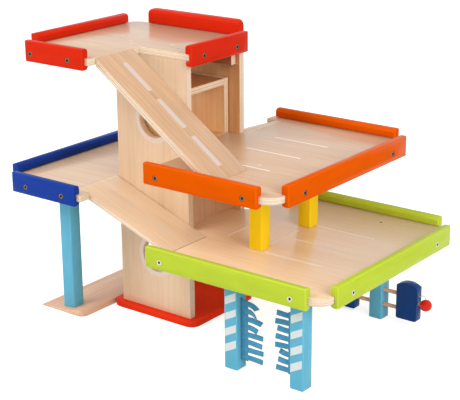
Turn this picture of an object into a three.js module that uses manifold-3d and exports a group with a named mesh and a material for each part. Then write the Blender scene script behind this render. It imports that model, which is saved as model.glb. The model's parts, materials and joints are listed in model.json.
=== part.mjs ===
import * as THREE from 'three';
import { mergeVertices } from 'three/addons/utils/BufferGeometryUtils.js';
import Module from 'manifold-3d';

const wasm = await Module();
wasm.setup();

// A wooden toy parking garage: four plywood decks round a lift tower, with ramps between them.
// Millimetres. X runs along the decks, Y from front to back and Z up, with the floor at 0.
// Until the last lines, X and Y are 0 in the middle of the lift shaft.

// Stock sizes
const deckThick = 10.1;
const panelThick = 10.5;
const plateThick = 9.3;
const rampThick = 6;
const fit = 0.3;
const overrun = 1;

// Deck tops above the floor
const greenTop = 144.4;
const blueTop = 204.1;
const orangeTop = 263.2;
const redTop = 403.1;

// Outer faces of the rails in plan
const halfDepth = 175.2;
const greenX = 370.2;
const orangeX = 294.1;
const blueX = 206.4;
const redLeftX = 162.8;
const redRightX = 80.2;
const redBackY = 85.9;

// Rails: grooved bars that clasp the edges of the decks
const railHeight = 30;
const railWidth = 12.1;
const railLip = 13.6;
const backRailLip = 23;
const backRailCorner = 9;
const railInset = 6;
const railSetback = 29.5;
const redFrontSetback = 28;
const redLeftNearSetback = 40;
const redLeftFarSetback = 24.6;
const redBackSetback = 40.7;
const redRightOverhang = 5.4;
const redRightFarSetback = 28.5;
const railOuterRound = 1.5;
const railInnerRound = 4.5;
const grooveRound = 1.5;

// Lift tower
const panelHalfX = 65.4;
const panelOuterY = 65.8;
const windowRadius = 26;
const windowX = 3.5;
const lowWindowZ = 95.2;
const highWindowZ = 299.4;
const battenWide = 12;
const battenHigh = 26.5;
const frontBattenHalfX = 52;
const backBattenHalfX = 60;

// Ground plates
const baseHalfX = 79;
const baseHalfY = 76;
const baseCorner = 15;
const wedgeLong = 84.7;
const wedgeTip = 1.2;
const wedgeCorner = 12;

// Deck edges towards the tower
const wingX = 71;
const rampEdgeX = 73.5;
const stripX = 47;
const stripDeep = 20.2;
const tongueX = 47;
const redFrontEndX = 20;
const smallCorner = 2;
const wideCorner = 32;

// Ramps
const gentleRun = 163;
const gentleLanding = 7.5;
const steepRun = 204.8;
const rampPlay = 0.5;
const topRampGap = 13.6;
const topRampClear = 0.7;
const topRampDrift = 6.2;

// Posts: an inset is the distance in from the end of the deck above, a setback in from its front or back
const postSide = 21.2;
const postRound = 1.5;
const postPlay = 0.3;
const yellowPostInset = 108.6;
const yellowPostY = 59.1;
const bluePostInset = 90;
const bluePostSetback = 20.5;
const postSeat = 4;
const washPostInset = 167.5;
const washGap = 86.1;
const washPostSetback = 36.5;
const pumpPostInset = 102.1;
const pumpPostSetback = 48.9;

// Felt curtains of the car wash
const feltThick = 2;
const feltLow = 14;
const feltHigh = 103;
const feltReach = 35.6;
const feltRightReach = 29.4;
const feltBand = 11.7;
const feltTuck = 6;
const feltFingers = 8;
const feltSlit = 1.2;
const slotPlay = 0.4;

// Fuel pumps on their dowels
const pumpWide = 34;
const pumpDepth = 13.5;
const pumpGap = 24.3;
const pumpLow = 10;
const pumpShoulder = 61.8;
const pumpCrown = 67;
const pumpRound = 3;
const leftPumpDrop = 5;
const dowelRadius = 3;
const dowelZ = [23.2, 45.8];
const dowelGrip = 12;

// Pump nozzles: a ball with a peg, on a short cord
const ballRadius = 7.9;
const ballStandOff = 11.5;
const ballZ = 37.5;
const pegRadius = 3;
const pegGrip = 7;
const pegHoleDepth = 8;
const cordHoleZ = 48;
const cordHoleRadius = 1.6;
const cordHoleDepth = 18;
const nozzleCordRadius = 0.9;

// Lift cab
const cabHalfX = 46;
const cabHalfY = 53.5;
const cabWall = 9.5;
const cabHigh = 92.2;
const cabPlate = 10.1;
const eyeRing = 3.5;
const eyeWire = 0.8;
const eyeGrip = 6;

// Winch at the head of the shaft
const axleRadius = 4;
const axleZ = 372;
const axlePlay = 1;
const spoolRadius = 8;
const flangeRadius = 14;
const flangeThick = 3;
const spoolWide = 18;
const liftCordRadius = 1;
const collarRadius = 8;
const collarWide = 5;
const collarPlay = 1;
const crankY = 88;
const crankThick = 8;
const crankRadius = 30;
const crankArmRound = 9;
const handlePinRadius = 3;
const handleRadius = 7.5;
const handleLong = 24;
const handleNeck = 5;

// Steps of the curved faces
const arcSteps = 6;
const edgeSteps = 2;
const roundSteps = 24;
const holeSteps = 16;
const cordSides = 8;
const cordSteps = 10;

// Finishes
const finish = (color, roughness, metalness = 0) =>
  new THREE.MeshStandardMaterial({ color, roughness, metalness, flatShading: true });
const birch = () => finish(0xe4c39e, 0.55);
const birchRamp = () => finish(0xe2b98a, 0.55);
const beech = () => finish(0xcfa183, 0.55);
const red = () => finish(0xe43216, 0.35);
const orange = () => finish(0xec5c04, 0.35);
const blue = () => finish(0x20429d, 0.35);
const green = () => finish(0xc0d844, 0.35);
const yellow = () => finish(0xfcce1c, 0.35);
const lightBlue = () => finish(0x6ebcd7, 0.35);
const navy = () => finish(0x12376e, 0.4);
const felt = () => finish(0x3ca0b9, 0.95);
const string = () => finish(0xf2efe8, 0.8);
const steel = () => finish(0xb9bcc0, 0.3, 1);

// Turn a closed geometry into one solid with its faces pointing out.
function toSolid(geometry) {
  const bare = geometry.clone();
  bare.deleteAttribute('normal');
  bare.deleteAttribute('uv');
  const merged = mergeVertices(bare);
  const places = merged.attributes.position.array;
  const corners = dropSlivers(merged.index.array);
  if (signedVolume(places, corners) < 0) corners.reverse();
  const mesh = new wasm.Mesh({
    numProp: 3,
    vertProperties: Float32Array.from(places),
    triVerts: Uint32Array.from(corners),
  });
  return new wasm.Manifold(mesh);
}

function dropSlivers(index) {
  const kept = [];
  for (let i = 0; i < index.length; i += 3) {
    const [a, b, c] = [index[i], index[i + 1], index[i + 2]];
    if (a !== b && b !== c && c !== a) kept.push(a, b, c);
  }
  return kept;
}

function signedVolume(places, corners) {
  const at = (i) => new THREE.Vector3().fromArray(places, 3 * i);
  let sum = 0;
  for (let i = 0; i < corners.length; i += 3) {
    sum += at(corners[i]).dot(at(corners[i + 1]).cross(at(corners[i + 2])));
  }
  return sum;
}

function toGeometry(solid) {
  const mesh = solid.getMesh();
  const geometry = new THREE.BufferGeometry();
  geometry.setAttribute('position', new THREE.BufferAttribute(mesh.vertProperties, 3));
  geometry.setIndex(new THREE.BufferAttribute(mesh.triVerts, 1));
  return geometry;
}

// Join and cut geometries.
function combine(base, { add = [], cut = [], keep = [] }) {
  let solid = toSolid(base);
  for (const extra of add) solid = solid.add(toSolid(extra));
  for (const tool of cut) solid = solid.subtract(toSolid(tool));
  for (const mask of keep) solid = solid.intersect(toSolid(mask));
  return toGeometry(solid);
}

// A named piece of the garage.
function piece(name, geometry, material, x = 0, y = 0, z = 0, turn = 0) {
  const mesh = new THREE.Mesh(toGeometry(toSolid(geometry)), material);
  mesh.name = name;
  mesh.position.set(x, y, z);
  mesh.rotation.z = turn;
  return mesh;
}

// Outlines

// Points of an outline whose corners, given as [x, y, radius], are rounded.
function roundedPoints(corners, steps = arcSteps) {
  const points = [];
  corners.forEach(([x, y, radius], i) => {
    const corner = new THREE.Vector2(x, y);
    if (!radius) {
      points.push(corner);
      return;
    }
    const [px, py] = corners[(i + corners.length - 1) % corners.length];
    const [nx, ny] = corners[(i + 1) % corners.length];
    const back = new THREE.Vector2(px, py).sub(corner).normalize();
    const ahead = new THREE.Vector2(nx, ny).sub(corner).normalize();
    const half = Math.acos(back.dot(ahead)) / 2;
    const middle = back.clone().add(ahead).normalize();
    const centre = corner.clone().addScaledVector(middle, radius / Math.sin(half));
    const start = corner.clone().addScaledVector(back, radius / Math.tan(half)).sub(centre);
    const sweep = Math.sign(ahead.cross(back)) * (Math.PI - 2 * half);
    for (let s = 0; s <= steps; s += 1) {
      points.push(start.clone().rotateAround(new THREE.Vector2(), (sweep * s) / steps).add(centre));
    }
  });
  return points;
}

const outline = (corners, steps) => new THREE.Shape(roundedPoints(corners, steps));

const rectangle = (wide, high, radius, steps) => outline([
  [-wide / 2, -high / 2, radius],
  [wide / 2, -high / 2, radius],
  [wide / 2, high / 2, radius],
  [-wide / 2, high / 2, radius],
], steps);

// A plate or bar along Z from its outline in X and Y, with its foot at 0.
const extrude = (shape, depth) =>
  new THREE.ExtrudeGeometry(shape, { depth, bevelEnabled: false, curveSegments: roundSteps });

// An outline in X and Z, as thick as given along Y, with its middle at 0.
const upright = (shape, thick) =>
  extrude(shape, thick).translate(0, 0, -thick / 2).rotateX(Math.PI / 2);

const box = (wide, deep, high) => new THREE.BoxGeometry(wide, deep, high);

// Round bars with their middle at 0
const barZ = (radius, long, steps = holeSteps) =>
  new THREE.CylinderGeometry(radius, radius, long, steps).rotateX(Math.PI / 2);
const barX = (radius, long, steps = holeSteps) =>
  new THREE.CylinderGeometry(radius, radius, long, steps).rotateZ(Math.PI / 2);
const barY = (radius, long, steps = holeSteps) =>
  new THREE.CylinderGeometry(radius, radius, long, steps);

// A body turned about Y from points [radius, y].
const turned = (points, steps = roundSteps) =>
  new THREE.LatheGeometry(points.map(([r, y]) => new THREE.Vector2(r, y)), steps);

const circle = (radius, x = 0, y = 0) => new THREE.Path().absarc(x, y, radius, 0, 2 * Math.PI);

// Edge lines that the decks, rails, ramps and posts share
const deckEdgeY = halfDepth - railInset;
const railInnerY = halfDepth - railWidth;
const panelInnerY = panelOuterY - panelThick;
const panelFoot = plateThick;
const panelHead = redTop - deckThick;
const plyCorner = railSetback - railInset;
const stripInnerY = deckEdgeY - stripDeep;
const backPostY = railInnerY - postPlay - postSide / 2;
const wedgeHalfY = backPostY - postSide / 2 - fit;
const bluePostX = blueX - bluePostInset;
const bluePostY = wedgeHalfY - bluePostSetback;

// Decks

// Outline of a deck beside the tower, from its front corner round to the shaft.
function sideDeckOutline(outerX, strip, backCorner = plyCorner) {
  const gapX = panelHalfX + fit;
  const gapOutY = panelOuterY + fit;
  const gapInY = panelInnerY - fit;
  const backCorners = strip
    ? [[stripX, deckEdgeY, smallCorner], [stripX, stripInnerY, 0], [rampEdgeX, stripInnerY, 0]]
    : [[rampEdgeX, deckEdgeY, smallCorner]];
  return outline([
    [wingX, -deckEdgeY, smallCorner],
    [outerX - railInset, -deckEdgeY, plyCorner],
    [outerX - railInset, deckEdgeY, backCorner],
    ...backCorners,
    [rampEdgeX, gapOutY, 0],
    [gapX, gapOutY, 0],
    [gapX, gapInY, 0],
    [tongueX, gapInY, 0],
    [tongueX, -gapInY, 0],
    [gapX, -gapInY, 0],
    [gapX, -gapOutY, 0],
    [wingX, -gapOutY, 0],
  ]);
}

function redDeckOutline() {
  return outline([
    [railInset - redLeftX, -deckEdgeY, wideCorner],
    [-redFrontEndX, -deckEdgeY, smallCorner],
    [-redFrontEndX, -panelOuterY, 0],
    [redRightX - railInset, -panelOuterY, 0],
    [redRightX - railInset, redBackY - railInset, plyCorner],
    [railInset - redLeftX, redBackY - railInset, plyCorner],
  ]);
}

const deck = (name, shape, top, turn = 0) =>
  piece(name, extrude(shape, deckThick), birch(), 0, 0, top - deckThick, turn);

function makeDecks() {
  return [
    deck('deck_red', redDeckOutline(), redTop),
    deck('deck_orange', sideDeckOutline(orangeX, true), orangeTop),
    deck('deck_blue', sideDeckOutline(blueX, true, wideCorner), blueTop, Math.PI),
    deck('deck_green', sideDeckOutline(greenX, false), greenTop),
  ];
}

// Rails

// Section of a rail: x runs in from the outer face, y is 0 at the deck's top.
function railSection(lip) {
  const foot = railLip - railHeight;
  const grooveX = railInset - fit;
  return outline([
    [0, foot, railOuterRound],
    [railWidth, foot, railInnerRound],
    [railWidth, -deckThick - fit, grooveRound],
    [grooveX, -deckThick - fit, 0],
    [grooveX, fit, 0],
    [railWidth, fit, grooveRound],
    [railWidth, lip, railInnerRound],
    [0, lip, railOuterRound],
  ], edgeSteps);
}

// A rail along X with its outer face at y = 0 and its middle at x = 0.
function railBar(long, lip) {
  const axes = new THREE.Matrix4().makeBasis(
    new THREE.Vector3(0, 1, 0),
    new THREE.Vector3(0, 0, 1),
    new THREE.Vector3(1, 0, 0),
  );
  const bar = extrude(railSection(lip), long).translate(0, 0, -long / 2);
  return bar.applyMatrix4(axes);
}

// The high back rail has its two top corners rounded.
function backRailBar(long) {
  const high = railHeight - railLip + backRailLip;
  const mask = outline([
    [-long / 2, -high, 0],
    [long / 2, -high, 0],
    [long / 2, backRailLip, backRailCorner],
    [-long / 2, backRailLip, backRailCorner],
  ]);
  return combine(railBar(long, backRailLip), { keep: [upright(mask, 4 * railWidth)] });
}

// Rails on the four sides of a deck, from one end to the other along that side.
const frontRail = (name, from, to, y, top, paint) =>
  piece(name, railBar(to - from, railLip), paint(), (from + to) / 2, y, top);
const backRail = (name, from, to, y, top, paint) =>
  piece(name, railBar(to - from, railLip), paint(), (from + to) / 2, y, top, Math.PI);
const rightRail = (name, from, to, x, top, paint) =>
  piece(name, railBar(to - from, railLip), paint(), x, (from + to) / 2, top, Math.PI / 2);
const leftRail = (name, from, to, x, top, paint) =>
  piece(name, railBar(to - from, railLip), paint(), x, (from + to) / 2, top, -Math.PI / 2);

function makeRails() {
  const sideEnd = halfDepth - railSetback;
  const redFrontLeftEnd = redFrontSetback - redLeftX;
  const redLeftNearEnd = redLeftNearSetback - halfDepth;
  const redLeftFarEnd = redBackY - redLeftFarSetback;
  const redRightNearEnd = -panelOuterY - redRightOverhang;
  const redRightFarEnd = redBackY - redRightFarSetback;
  const redBackLeftEnd = redBackSetback - redLeftX;
  const redBackRightEnd = redRightX - railSetback;
  const redBack = piece('rail_red_back', backRailBar(redBackRightEnd - redBackLeftEnd), red(),
    (redBackLeftEnd + redBackRightEnd) / 2, redBackY, redTop, Math.PI);
  return [
    leftRail('rail_red_left', redLeftNearEnd, redLeftFarEnd, -redLeftX, redTop, red),
    frontRail('rail_red_front', redFrontLeftEnd, -redFrontEndX - railInset, -halfDepth, redTop, red),
    rightRail('rail_red_right', redRightNearEnd, redRightFarEnd, redRightX, redTop, red),
    redBack,
    frontRail('rail_orange_front', wingX + railInset, orangeX - railSetback, -halfDepth, orangeTop, orange),
    rightRail('rail_orange_right', -sideEnd, sideEnd, orangeX, orangeTop, orange),
    backRail('rail_orange_back', stripX + railInset, orangeX - railSetback, halfDepth, orangeTop, orange),
    leftRail('rail_blue_left', -sideEnd, sideEnd, -blueX, blueTop, blue),
    frontRail('rail_blue_front', railSetback - blueX, -stripX - railInset, -halfDepth, blueTop, blue),
    backRail('rail_blue_back', railSetback - blueX, -wingX - railInset, halfDepth, blueTop, blue),
    frontRail('rail_green_front', wingX + railInset, greenX - railSetback, -halfDepth, greenTop, green),
    rightRail('rail_green_right', -sideEnd, sideEnd, greenX, greenTop, green),
    backRail('rail_green_back', rampEdgeX + railInset, greenX - railSetback, halfDepth, greenTop, green),
  ];
}

// Ground plates

const wedgeEndX = -baseHalfX - fit;
const wedgeTipX = wedgeEndX - wedgeLong;
const wedgeSlope = (plateThick - wedgeTip) / wedgeLong;
const wedgeTopAt = (x) => wedgeTip + (x - wedgeTipX) * wedgeSlope;

function makeBasePlate() {
  const plate = extrude(rectangle(2 * baseHalfX, 2 * baseHalfY, baseCorner), plateThick);
  return piece('base_plate', plate, red());
}

// The entry plate falls from the base plate to the floor, with a flat seat for the front blue post.
function makeEntryWedge() {
  const profile = outline([
    [wedgeTipX, 0, 0],
    [wedgeEndX, 0, 0],
    [wedgeEndX, plateThick, 0],
    [wedgeTipX, wedgeTip, 0],
  ]);
  const plan = outline([
    [wedgeTipX - overrun, -wedgeHalfY, 0],
    [wedgeEndX, -wedgeHalfY, wedgeCorner],
    [wedgeEndX, wedgeHalfY, wedgeCorner],
    [wedgeTipX - overrun, wedgeHalfY, 0],
  ]);
  const mask = extrude(plan, plateThick + 2 * overrun).translate(0, 0, -overrun);
  const seatWide = postSide + 2 * fit;
  const seat = box(seatWide, seatWide, plateThick);
  seat.translate(-bluePostX, -bluePostY, postSeat + plateThick / 2);
  const wedge = combine(upright(profile, 2 * (wedgeHalfY + overrun)), { keep: [mask], cut: [seat] });
  return piece('entry_wedge', wedge, beech());
}

// Tower

const axleX = -spoolRadius - liftCordRadius;
const panelMiddleY = panelOuterY - panelThick / 2;

function panelShape(holes) {
  const shape = outline([
    [-panelHalfX, panelFoot, 0],
    [panelHalfX, panelFoot, 0],
    [panelHalfX, panelHead, 0],
    [-panelHalfX, panelHead, 0],
  ]);
  shape.holes.push(...holes);
  return shape;
}

function makePanels() {
  const windows = [lowWindowZ, highWindowZ].map((z) => circle(windowRadius, windowX, z));
  const bearing = barY(axleRadius + fit, panelThick + 2 * overrun).translate(axleX, 0, axleZ);
  const back = combine(upright(panelShape([]), panelThick), { cut: [bearing] });
  return [
    piece('front_panel', upright(panelShape(windows), panelThick), birch(), 0, -panelMiddleY),
    piece('back_panel', back, birch(), 0, panelMiddleY),
  ];
}

// Two battens under the red deck, which also carry the winch's axle
function makeBattens() {
  const y = panelInnerY - battenWide / 2;
  const z = panelHead - battenHigh / 2;
  const bearing = barY(axleRadius + fit, battenWide + 2 * overrun).translate(axleX, 0, axleZ - z);
  const bar = (halfX) => combine(box(2 * halfX, battenWide, battenHigh), { cut: [bearing] });
  return [
    piece('front_batten', bar(frontBattenHalfX), beech(), 0, -y, z),
    piece('back_batten', bar(backBattenHalfX), beech(), 0, y, z),
  ];
}

// Ramps

// Side view of a ramp: x runs down the ramp from its upper edge, y is 0 at the upper deck's top.
// Its foot lies on a surface that is drop lower at x = 0 and falls by fall for each step of x.
function rampShape(run, landing, drop, fall = 0) {
  const slope = (drop + fall * run) / (run - landing);
  const plumbThick = rampThick * Math.hypot(1, slope);
  const toeX = (slope * landing + drop) / (slope - fall);
  const heelX = (slope * landing + drop - plumbThick) / (slope - fall);
  const bendX = landing - (plumbThick - rampThick) / slope;
  return outline([
    [0, 0, 0],
    [0, -rampThick, 0],
    [bendX, -rampThick, 0],
    [heelX, -drop - fall * heelX, 0],
    [toeX, -drop - fall * toeX, 0],
    [landing, 0, 0],
  ]);
}

// Side view of a steep ramp, cut from deck board: its upper end is sawn plumb and butts against the deck.
function steepRampShape(run, drop, fall = 0) {
  const slope = drop / run + fall;
  const plumbThick = deckThick * Math.hypot(1, slope);
  const heelX = (drop - plumbThick) / (slope - fall);
  return outline([
    [0, 0, 0],
    [0, -plumbThick, 0],
    [heelX, -drop - fall * heelX, 0],
    [run, -drop - fall * run, 0],
  ]);
}

// A ramp going to +X, or to -X with turn at half a turn; drift moves its foot sideways.
function ramp(name, shape, x, innerY, outerY, top, turn, drift = 0, run = 1) {
  const side = turn ? 1 : -1;
  const plank = upright(shape, outerY - innerY);
  plank.applyMatrix4(new THREE.Matrix4().makeShear(-drift / run, 0, 0, 0, 0, 0));
  return piece(name, plank, birchRamp(), x, (side * (innerY + outerY)) / 2, top, turn);
}

function makeRamps() {
  const besideTower = panelOuterY + rampPlay;
  const besideStrip = stripInnerY - rampPlay;
  const topInner = panelOuterY + topRampGap;
  const topOuter = railInnerY - topRampClear - topRampDrift;
  const gentle = rampShape(gentleRun + gentleLanding, gentleLanding, orangeTop - blueTop);
  const lower = rampShape(gentleRun + gentleLanding, gentleLanding, blueTop - greenTop);
  const steep = steepRampShape(steepRun, redTop - orangeTop);
  const groundStartX = rampEdgeX - fit;
  const groundDrop = greenTop - wedgeTopAt(groundStartX) - fit;
  const ground = steepRampShape(steepRun, groundDrop, wedgeSlope);
  return [
    ramp('ramp_red_to_orange', steep, fit - redFrontEndX, topInner, topOuter, redTop, 0,
      topRampDrift, steepRun),
    ramp('ramp_orange_to_blue', gentle, rampEdgeX - fit, besideTower, besideStrip, orangeTop, Math.PI),
    ramp('ramp_blue_to_green', lower, fit - rampEdgeX, besideTower, besideStrip, blueTop, 0),
    ramp('ramp_green_to_ground', ground, groundStartX, besideTower, wedgeHalfY - rampPlay, greenTop, Math.PI),
  ];
}

// Posts

const postBar = (high) => extrude(rectangle(postSide, postSide, postRound, edgeSteps), high);

const post = (name, x, y, foot, head, paint) =>
  piece(name, postBar(head - foot), paint(), x, y, foot);

function makePosts() {
  const underOrange = orangeTop - deckThick;
  const underBlue = blueTop - deckThick;
  const yellowPostX = orangeX - yellowPostInset;
  return [
    post('post_yellow_front', yellowPostX, -yellowPostY, greenTop, underOrange, yellow),
    post('post_yellow_back', yellowPostX, yellowPostY, greenTop, underOrange, yellow),
    post('post_blue_front', -bluePostX, -bluePostY, postSeat, underBlue, lightBlue),
    post('post_blue_back', -bluePostX, backPostY, 0, underBlue, lightBlue),
  ];
}

// Car wash: two posts with a felt curtain in a slot of each

const washPostHigh = greenTop - deckThick;
const washPostX = greenX - washPostInset;
const washRightX = washPostX + postSide + washGap;
const washPostY = halfDepth - washPostSetback;

function washPost(name, x, side) {
  const slotHigh = feltHigh - feltLow + 2 * slotPlay;
  const slotDeep = feltTuck + slotPlay;
  const slot = box(2 * slotDeep, feltThick + 2 * slotPlay, slotHigh);
  slot.translate((side * postSide) / 2, 0, (feltLow + feltHigh) / 2);
  return piece(name, combine(postBar(washPostHigh), { cut: [slot] }), lightBlue(), x, -washPostY);
}

// A comb of felt: its band is tucked in the post and its fingers reach out along +X.
function feltComb(reach) {
  const pitch = (feltHigh - feltLow) / feltFingers;
  const corners = [[-feltTuck, feltHigh, 0], [-feltTuck, feltLow, 0]];
  for (let i = 0; i < feltFingers; i += 1) {
    const low = feltLow + i * pitch;
    const high = low + pitch - feltSlit;
    corners.push([reach, low, 0], [reach, high, 0]);
    if (i < feltFingers - 1) corners.push([feltBand, high, 0], [feltBand, high + feltSlit, 0]);
  }
  corners[corners.length - 1][1] = feltHigh;
  return upright(outline(corners), feltThick);
}

function makeCarWash() {
  return [
    washPost('post_wash_left', washPostX, 1),
    washPost('post_wash_right', washRightX, -1),
    piece('felt_left', feltComb(feltReach), felt(), washPostX + postSide / 2, -washPostY),
    piece('felt_right', feltComb(feltRightReach), felt(), washRightX - postSide / 2, -washPostY, 0, Math.PI),
  ];
}

// Fuel pumps

const pumpPostX = greenX - pumpPostInset;
const pumpPostY = halfDepth - pumpPostSetback;
const pumpY = pumpPostY - (postSide - pumpDepth) / 2;
const pumpX = postSide / 2 + pumpGap + pumpWide / 2;
const dowelHoleRadius = dowelRadius + fit;

function pumpShape() {
  const half = pumpWide / 2;
  const arch = pumpCrown - pumpShoulder;
  const radius = (half * half + arch * arch) / (2 * arch);
  const spread = Math.asin(half / radius);
  const crown = [];
  for (let s = 1; s < 2 * arcSteps; s += 1) {
    const angle = spread * (1 - s / arcSteps);
    crown.push([radius * Math.sin(angle), pumpCrown - radius * (1 - Math.cos(angle)), 0]);
  }
  return outline([
    [-half, pumpLow, pumpRound],
    [half, pumpLow, pumpRound],
    [half, pumpShoulder, 0],
    ...crown,
    [-half, pumpShoulder, 0],
  ], edgeSteps);
}

// A pump whose nozzle is on its +X side and whose dowels come in from -X.
function pump(name, x, drop, turn) {
  const half = pumpWide / 2;
  const dowelHoles = dowelZ.map((z) =>
    barX(dowelHoleRadius, 2 * dowelGrip).translate(-half, 0, z + drop));
  const pegHole = barX(pegRadius + fit, 2 * pegHoleDepth).translate(half, 0, ballZ);
  const cordHole = barX(cordHoleRadius, 2 * cordHoleDepth).translate(half, 0, cordHoleZ);
  const body = combine(upright(pumpShape(), pumpDepth), { cut: [...dowelHoles, pegHole, cordHole] });
  return piece(name, body, navy(), x, pumpY, -drop, turn);
}

function nozzle(name, x, drop, turn) {
  const long = ballStandOff + pegGrip;
  const peg = barX(pegRadius, long).translate(-long / 2, 0, 0);
  const ball = new THREE.SphereGeometry(ballRadius, roundSteps, holeSteps);
  return piece(name, combine(ball, { add: [peg] }), red(), x, pumpY, ballZ - drop, turn);
}

// The short cord from the pump's upper hole round to the top of the ball, seen from the ball's middle
const nozzleCordRoute = [
  [-24.6, 10.5], [-14.6, 10.5], [-9, 10.9], [-5.5, 12.3], [-2.2, 12.2], [-0.4, 10.6], [0, 8.8],
];

function nozzleCord(name, x, drop, turn) {
  const route = new THREE.CatmullRomCurve3(nozzleCordRoute.map(([cx, cz]) => new THREE.Vector3(cx, 0, cz)));
  const section = new THREE.Shape(circle(nozzleCordRadius).getPoints(cordSides).slice(0, cordSides));
  const cord = new THREE.ExtrudeGeometry(section, { steps: 2 * cordSteps, extrudePath: route });
  return piece(name, cord, string(), x, pumpY, ballZ - drop, turn);
}

function makePumps() {
  const dowelLong = 2 * (pumpGap + dowelGrip - fit) + postSide;
  const holes = dowelZ.map((z) =>
    barX(dowelHoleRadius, postSide + 2 * overrun).translate(0, pumpY - pumpPostY, z));
  const dowels = dowelZ.map((z, i) =>
    piece(`pump_dowel_${i + 1}`, barX(dowelRadius, dowelLong), beech(), pumpPostX, pumpY, z));
  const ballX = pumpX + pumpWide / 2 + ballStandOff;
  return [
    piece('post_pump', combine(postBar(greenTop - deckThick), { cut: holes }), lightBlue(),
      pumpPostX, pumpPostY),
    ...dowels,
    pump('pump_right', pumpPostX + pumpX, 0, 0),
    pump('pump_left', pumpPostX - pumpX, leftPumpDrop, Math.PI),
    nozzle('nozzle_right', pumpPostX + ballX, 0, 0),
    nozzle('nozzle_left', pumpPostX - ballX, leftPumpDrop, Math.PI),
    nozzleCord('nozzle_cord_right', pumpPostX + ballX, 0, 0),
    nozzleCord('nozzle_cord_left', pumpPostX - ballX, leftPumpDrop, Math.PI),
  ];
}

// Lift cab, standing at the orange deck

const cabFoot = orangeTop - cabPlate;
const cabHead = cabFoot + cabHigh;
const eyeMiddleZ = cabHead + eyeRing + eyeWire;

function makeCab() {
  const wallY = cabHalfY - cabWall / 2;
  const plateHalfY = cabHalfY - cabWall;
  const wall = () => box(2 * cabHalfX, cabWall, cabHigh);
  const plate = () => box(2 * cabHalfX, 2 * plateHalfY, cabPlate);
  const eyeHole = barZ(eyeWire + fit, 2 * eyeGrip).translate(0, 0, cabPlate / 2);
  return [
    piece('cab_front_wall', wall(), birch(), 0, -wallY, cabFoot + cabHigh / 2),
    piece('cab_back_wall', wall(), birch(), 0, wallY, cabFoot + cabHigh / 2),
    piece('cab_floor', plate(), birch(), 0, 0, cabFoot + cabPlate / 2),
    piece('cab_roof', combine(plate(), { cut: [eyeHole] }), birch(), 0, 0, cabHead - cabPlate / 2),
    makeEye(),
  ];
}

function makeEye() {
  const ring = new THREE.TorusGeometry(eyeRing, eyeWire, cordSides, roundSteps).rotateX(Math.PI / 2);
  const shankLong = eyeGrip - fit + eyeWire;
  const shank = barZ(eyeWire, shankLong).translate(0, 0, -eyeRing - shankLong / 2);
  return piece('cab_screw_eye', combine(ring, { add: [shank] }), steel(), 0, 0, eyeMiddleZ);
}

// Winch

function makeWinch() {
  const axleStart = axlePlay - panelInnerY;
  const axleEnd = crankY + crankThick;
  const axle = barY(axleRadius, axleEnd - axleStart, roundSteps);
  const collarY = panelInnerY - battenWide - collarPlay - collarWide;
  const cordLong = axleZ - eyeMiddleZ - eyeRing - eyeWire - fit;
  const cord = barZ(liftCordRadius, cordLong, cordSides);
  return [
    piece('winch_axle', axle, beech(), axleX, (axleStart + axleEnd) / 2, axleZ),
    piece('winch_spool', spoolBody(), beech(), axleX, 0, axleZ),
    piece('axle_collar', ring(collarRadius, collarWide), beech(), axleX, collarY, axleZ),
    piece('lift_cord', cord, string(), 0, 0, axleZ - cordLong / 2),
    piece('crank_arm', crankArm(), red(), axleX, crankY + crankThick / 2, axleZ),
    piece('crank_handle', crankHandle(), beech(), axleX, crankY, axleZ - crankRadius),
  ];
}

const axleBore = axleRadius + fit;

const ring = (radius, wide) =>
  turned([[axleBore, 0], [radius, 0], [radius, wide], [axleBore, wide], [axleBore, 0]]);

function spoolBody() {
  const half = spoolWide / 2;
  const inner = half - flangeThick;
  return turned([
    [axleBore, -half],
    [flangeRadius, -half],
    [flangeRadius, -inner],
    [spoolRadius, -inner],
    [spoolRadius, inner],
    [flangeRadius, inner],
    [flangeRadius, half],
    [axleBore, half],
    [axleBore, -half],
  ]);
}

function crankArm() {
  const arm = new THREE.Shape();
  arm.absarc(0, 0, crankArmRound, 0, Math.PI);
  arm.absarc(0, -crankRadius, crankArmRound, Math.PI, 2 * Math.PI);
  arm.holes.push(circle(axleBore), circle(handlePinRadius + fit, 0, -crankRadius));
  return upright(arm, crankThick);
}

function crankHandle() {
  const start = crankThick + fit;
  const end = start + handleLong;
  const profile = [[0, 0], [handlePinRadius, 0], [handlePinRadius, start], [handleNeck, start]];
  for (let s = 1; s <= arcSteps; s += 1) {
    const share = s / arcSteps;
    const swell = handleNeck + (handleRadius - handleNeck) * Math.sin((Math.PI / 2) * share);
    profile.push([swell, start + (handleLong - handleRadius) * share]);
  }
  for (let s = 1; s < arcSteps; s += 1) {
    const angle = ((Math.PI / 2) * s) / arcSteps;
    profile.push([handleRadius * Math.cos(angle), end - handleRadius * (1 - Math.sin(angle))]);
  }
  profile.push([0, end]);
  return turned(profile, holeSteps);
}

// The whole garage, moved so that X is 0 halfway between its outermost rails
const garage = new THREE.Group();
const tower = new THREE.Group();
tower.add(
  makeBasePlate(),
  makeEntryWedge(),
  ...makePanels(),
  ...makeBattens(),
  ...makeDecks(),
  ...makeRails(),
  ...makeRamps(),
  ...makePosts(),
  ...makeCarWash(),
  ...makePumps(),
  ...makeCab(),
  ...makeWinch(),
);
tower.position.x = (blueX - greenX) / 2;
garage.add(tower);

export default garage;
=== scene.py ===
import json
import math

import bmesh
import bpy
import numpy as np
from mathutils import Matrix, Vector


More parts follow.
